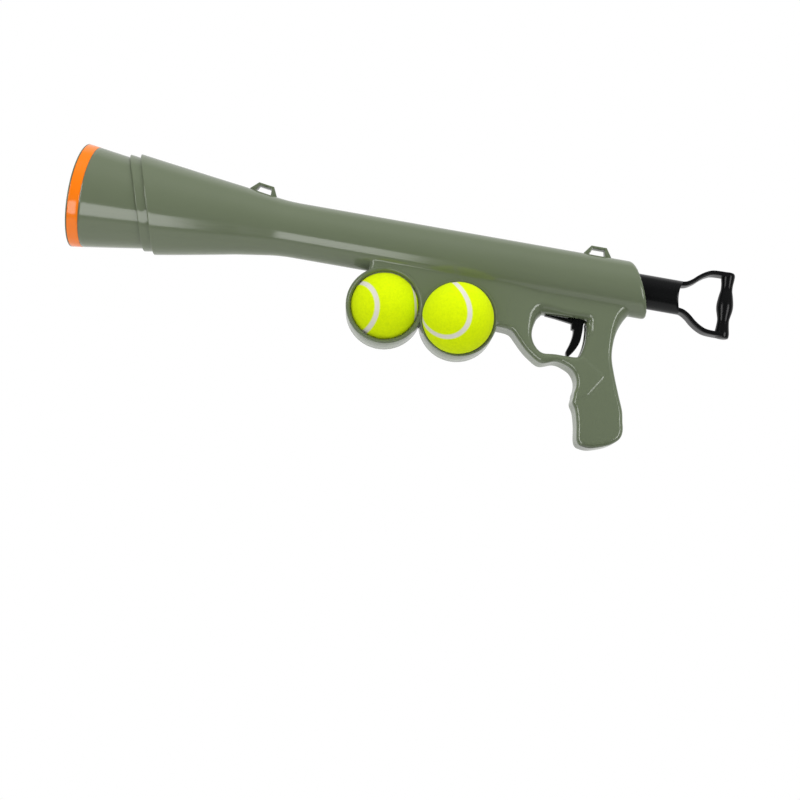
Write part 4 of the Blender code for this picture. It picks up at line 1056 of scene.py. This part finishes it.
def studio():
    """Even white light all round. What the gloss shows of it is dim in front, brighter above and
    bright behind and below the launcher; the camera sees plain white."""
    made = bpy.data.worlds.new("studio")
    made.use_nodes = True
    nodes, links = made.node_tree.nodes, made.node_tree.links
    even = nodes["Background"]
    shown, white = nodes.new("ShaderNodeBackground"), nodes.new("ShaderNodeBackground")
    for light in (even, shown, white):
        light.inputs["Color"].default_value = (1, 1, 1, 1)
    even.inputs["Strength"].default_value = 0.95
    place = nodes.new("ShaderNodeTexCoord")
    parts = nodes.new("ShaderNodeSeparateXYZ")
    links.new(place.outputs["Generated"], parts.inputs["Vector"])
    back = nodes.new("ShaderNodeMapRange")
    back.interpolation_type = "SMOOTHSTEP"
    high = nodes.new("ShaderNodeMapRange")
    low = nodes.new("ShaderNodeMapRange")
    for ramp, values in ((back, (-0.2, 0.4, 0.04, 0.80)), (high, (0.1, 0.9, 0.0, 0.35)),
                         (low, (-0.86, -0.93, 0.0, 0.9))):
        for socket, value in zip(("From Min", "From Max", "To Min", "To Max"), values):
            ramp.inputs[socket].default_value = value
    links.new(parts.outputs["Y"], back.inputs["Value"])
    bright = back.outputs["Result"]
    for end in (high, low):
        links.new(parts.outputs["Z"], end.inputs["Value"])
        bright = combined(nodes, links, "MAXIMUM", bright, end.outputs["Result"])
    links.new(bright, shown.inputs["Strength"])
    path = nodes.new("ShaderNodeLightPath")
    seen = even
    for ray, light in (("Is Glossy Ray", shown), ("Is Camera Ray", white)):
        mix = nodes.new("ShaderNodeMixShader")
        links.new(path.outputs[ray], mix.inputs["Fac"])
        links.new(seen.outputs[0], mix.inputs[1])
        links.new(light.outputs["Background"], mix.inputs[2])
        seen = mix
    links.new(seen.outputs["Shader"], nodes["World Output"].inputs["Surface"])
    return made


bpy.context.scene.world = studio()


def soft_light(name, place, target, size, radiance, gloss_only=True):
    """A soft light turned to face its target, with a power of radiance times area times pi."""
    data = bpy.data.lights.new(name, "AREA")
    data.shape = "RECTANGLE"
    data.size, data.size_y = size
    data.energy = radiance * math.pi * size[0] * size[1]
    made = bpy.data.objects.new(name, data)
    made.location = place
    away = (np.array(place) - np.array(target)).astype(float)
    made.rotation_euler = (math.atan2(math.hypot(away[0], away[1]), away[2]), 0,
                           math.atan2(away[0], -away[1]))
    made.visible_camera = False
    made.visible_diffuse = not gloss_only
    made.visible_glossy = gloss_only
    bpy.context.scene.collection.objects.link(made)
    return made


soft_light("overhead", (-0.19, -0.75, 1.10), (-0.19, -0.75, 0), (1.4, 0.7), 2.2,
           gloss_only=False)
soft_light("low_front", (-0.51, -0.89, -0.66), (-0.51, 0, 0.15), (0.68, 0.60), 4.3)
soft_light("left", (-1.50, -1.25, 0.00), (-0.2, 0, 0.10), (0.7, 1.2), 6.0)
soft_light("right", (1.10, -1.35, 0.00), (-0.2, 0, 0.10), (0.7, 1.2), 6.0)

scene = bpy.context.scene
scene.view_settings.view_transform = "Standard"
FRAME_PIXELS = 800
FOCAL_PIXELS = 1500.0
SENSOR = 36
CAMERA_AT = (-0.1837, -1.3187, -0.1691)
AZIMUTH, RISE, ROLL = (math.radians(a) for a in (0.63, 7.93, 9.82))
camera = bpy.data.objects.new("camera", bpy.data.cameras.new("camera"))
camera.data.sensor_width = SENSOR
camera.data.lens = FOCAL_PIXELS / FRAME_PIXELS * SENSOR
camera.data.clip_start, camera.data.clip_end = 0.01, 50
forward = np.array([math.sin(AZIMUTH) * math.cos(RISE), math.cos(AZIMUTH) * math.cos(RISE),
                    math.sin(RISE)])
right = np.array([math.cos(AZIMUTH), -math.sin(AZIMUTH), 0.0])
up = np.cross(right, forward)
turned_right = math.cos(ROLL) * right + math.sin(ROLL) * up
turned_up = -math.sin(ROLL) * right + math.cos(ROLL) * up
placed = np.eye(4)
placed[:3, 0], placed[:3, 1], placed[:3, 2] = turned_right, turned_up, -forward
placed[:3, 3] = CAMERA_AT
camera.matrix_world = placed.T.tolist()
scene.collection.objects.link(camera)
scene.camera = camera
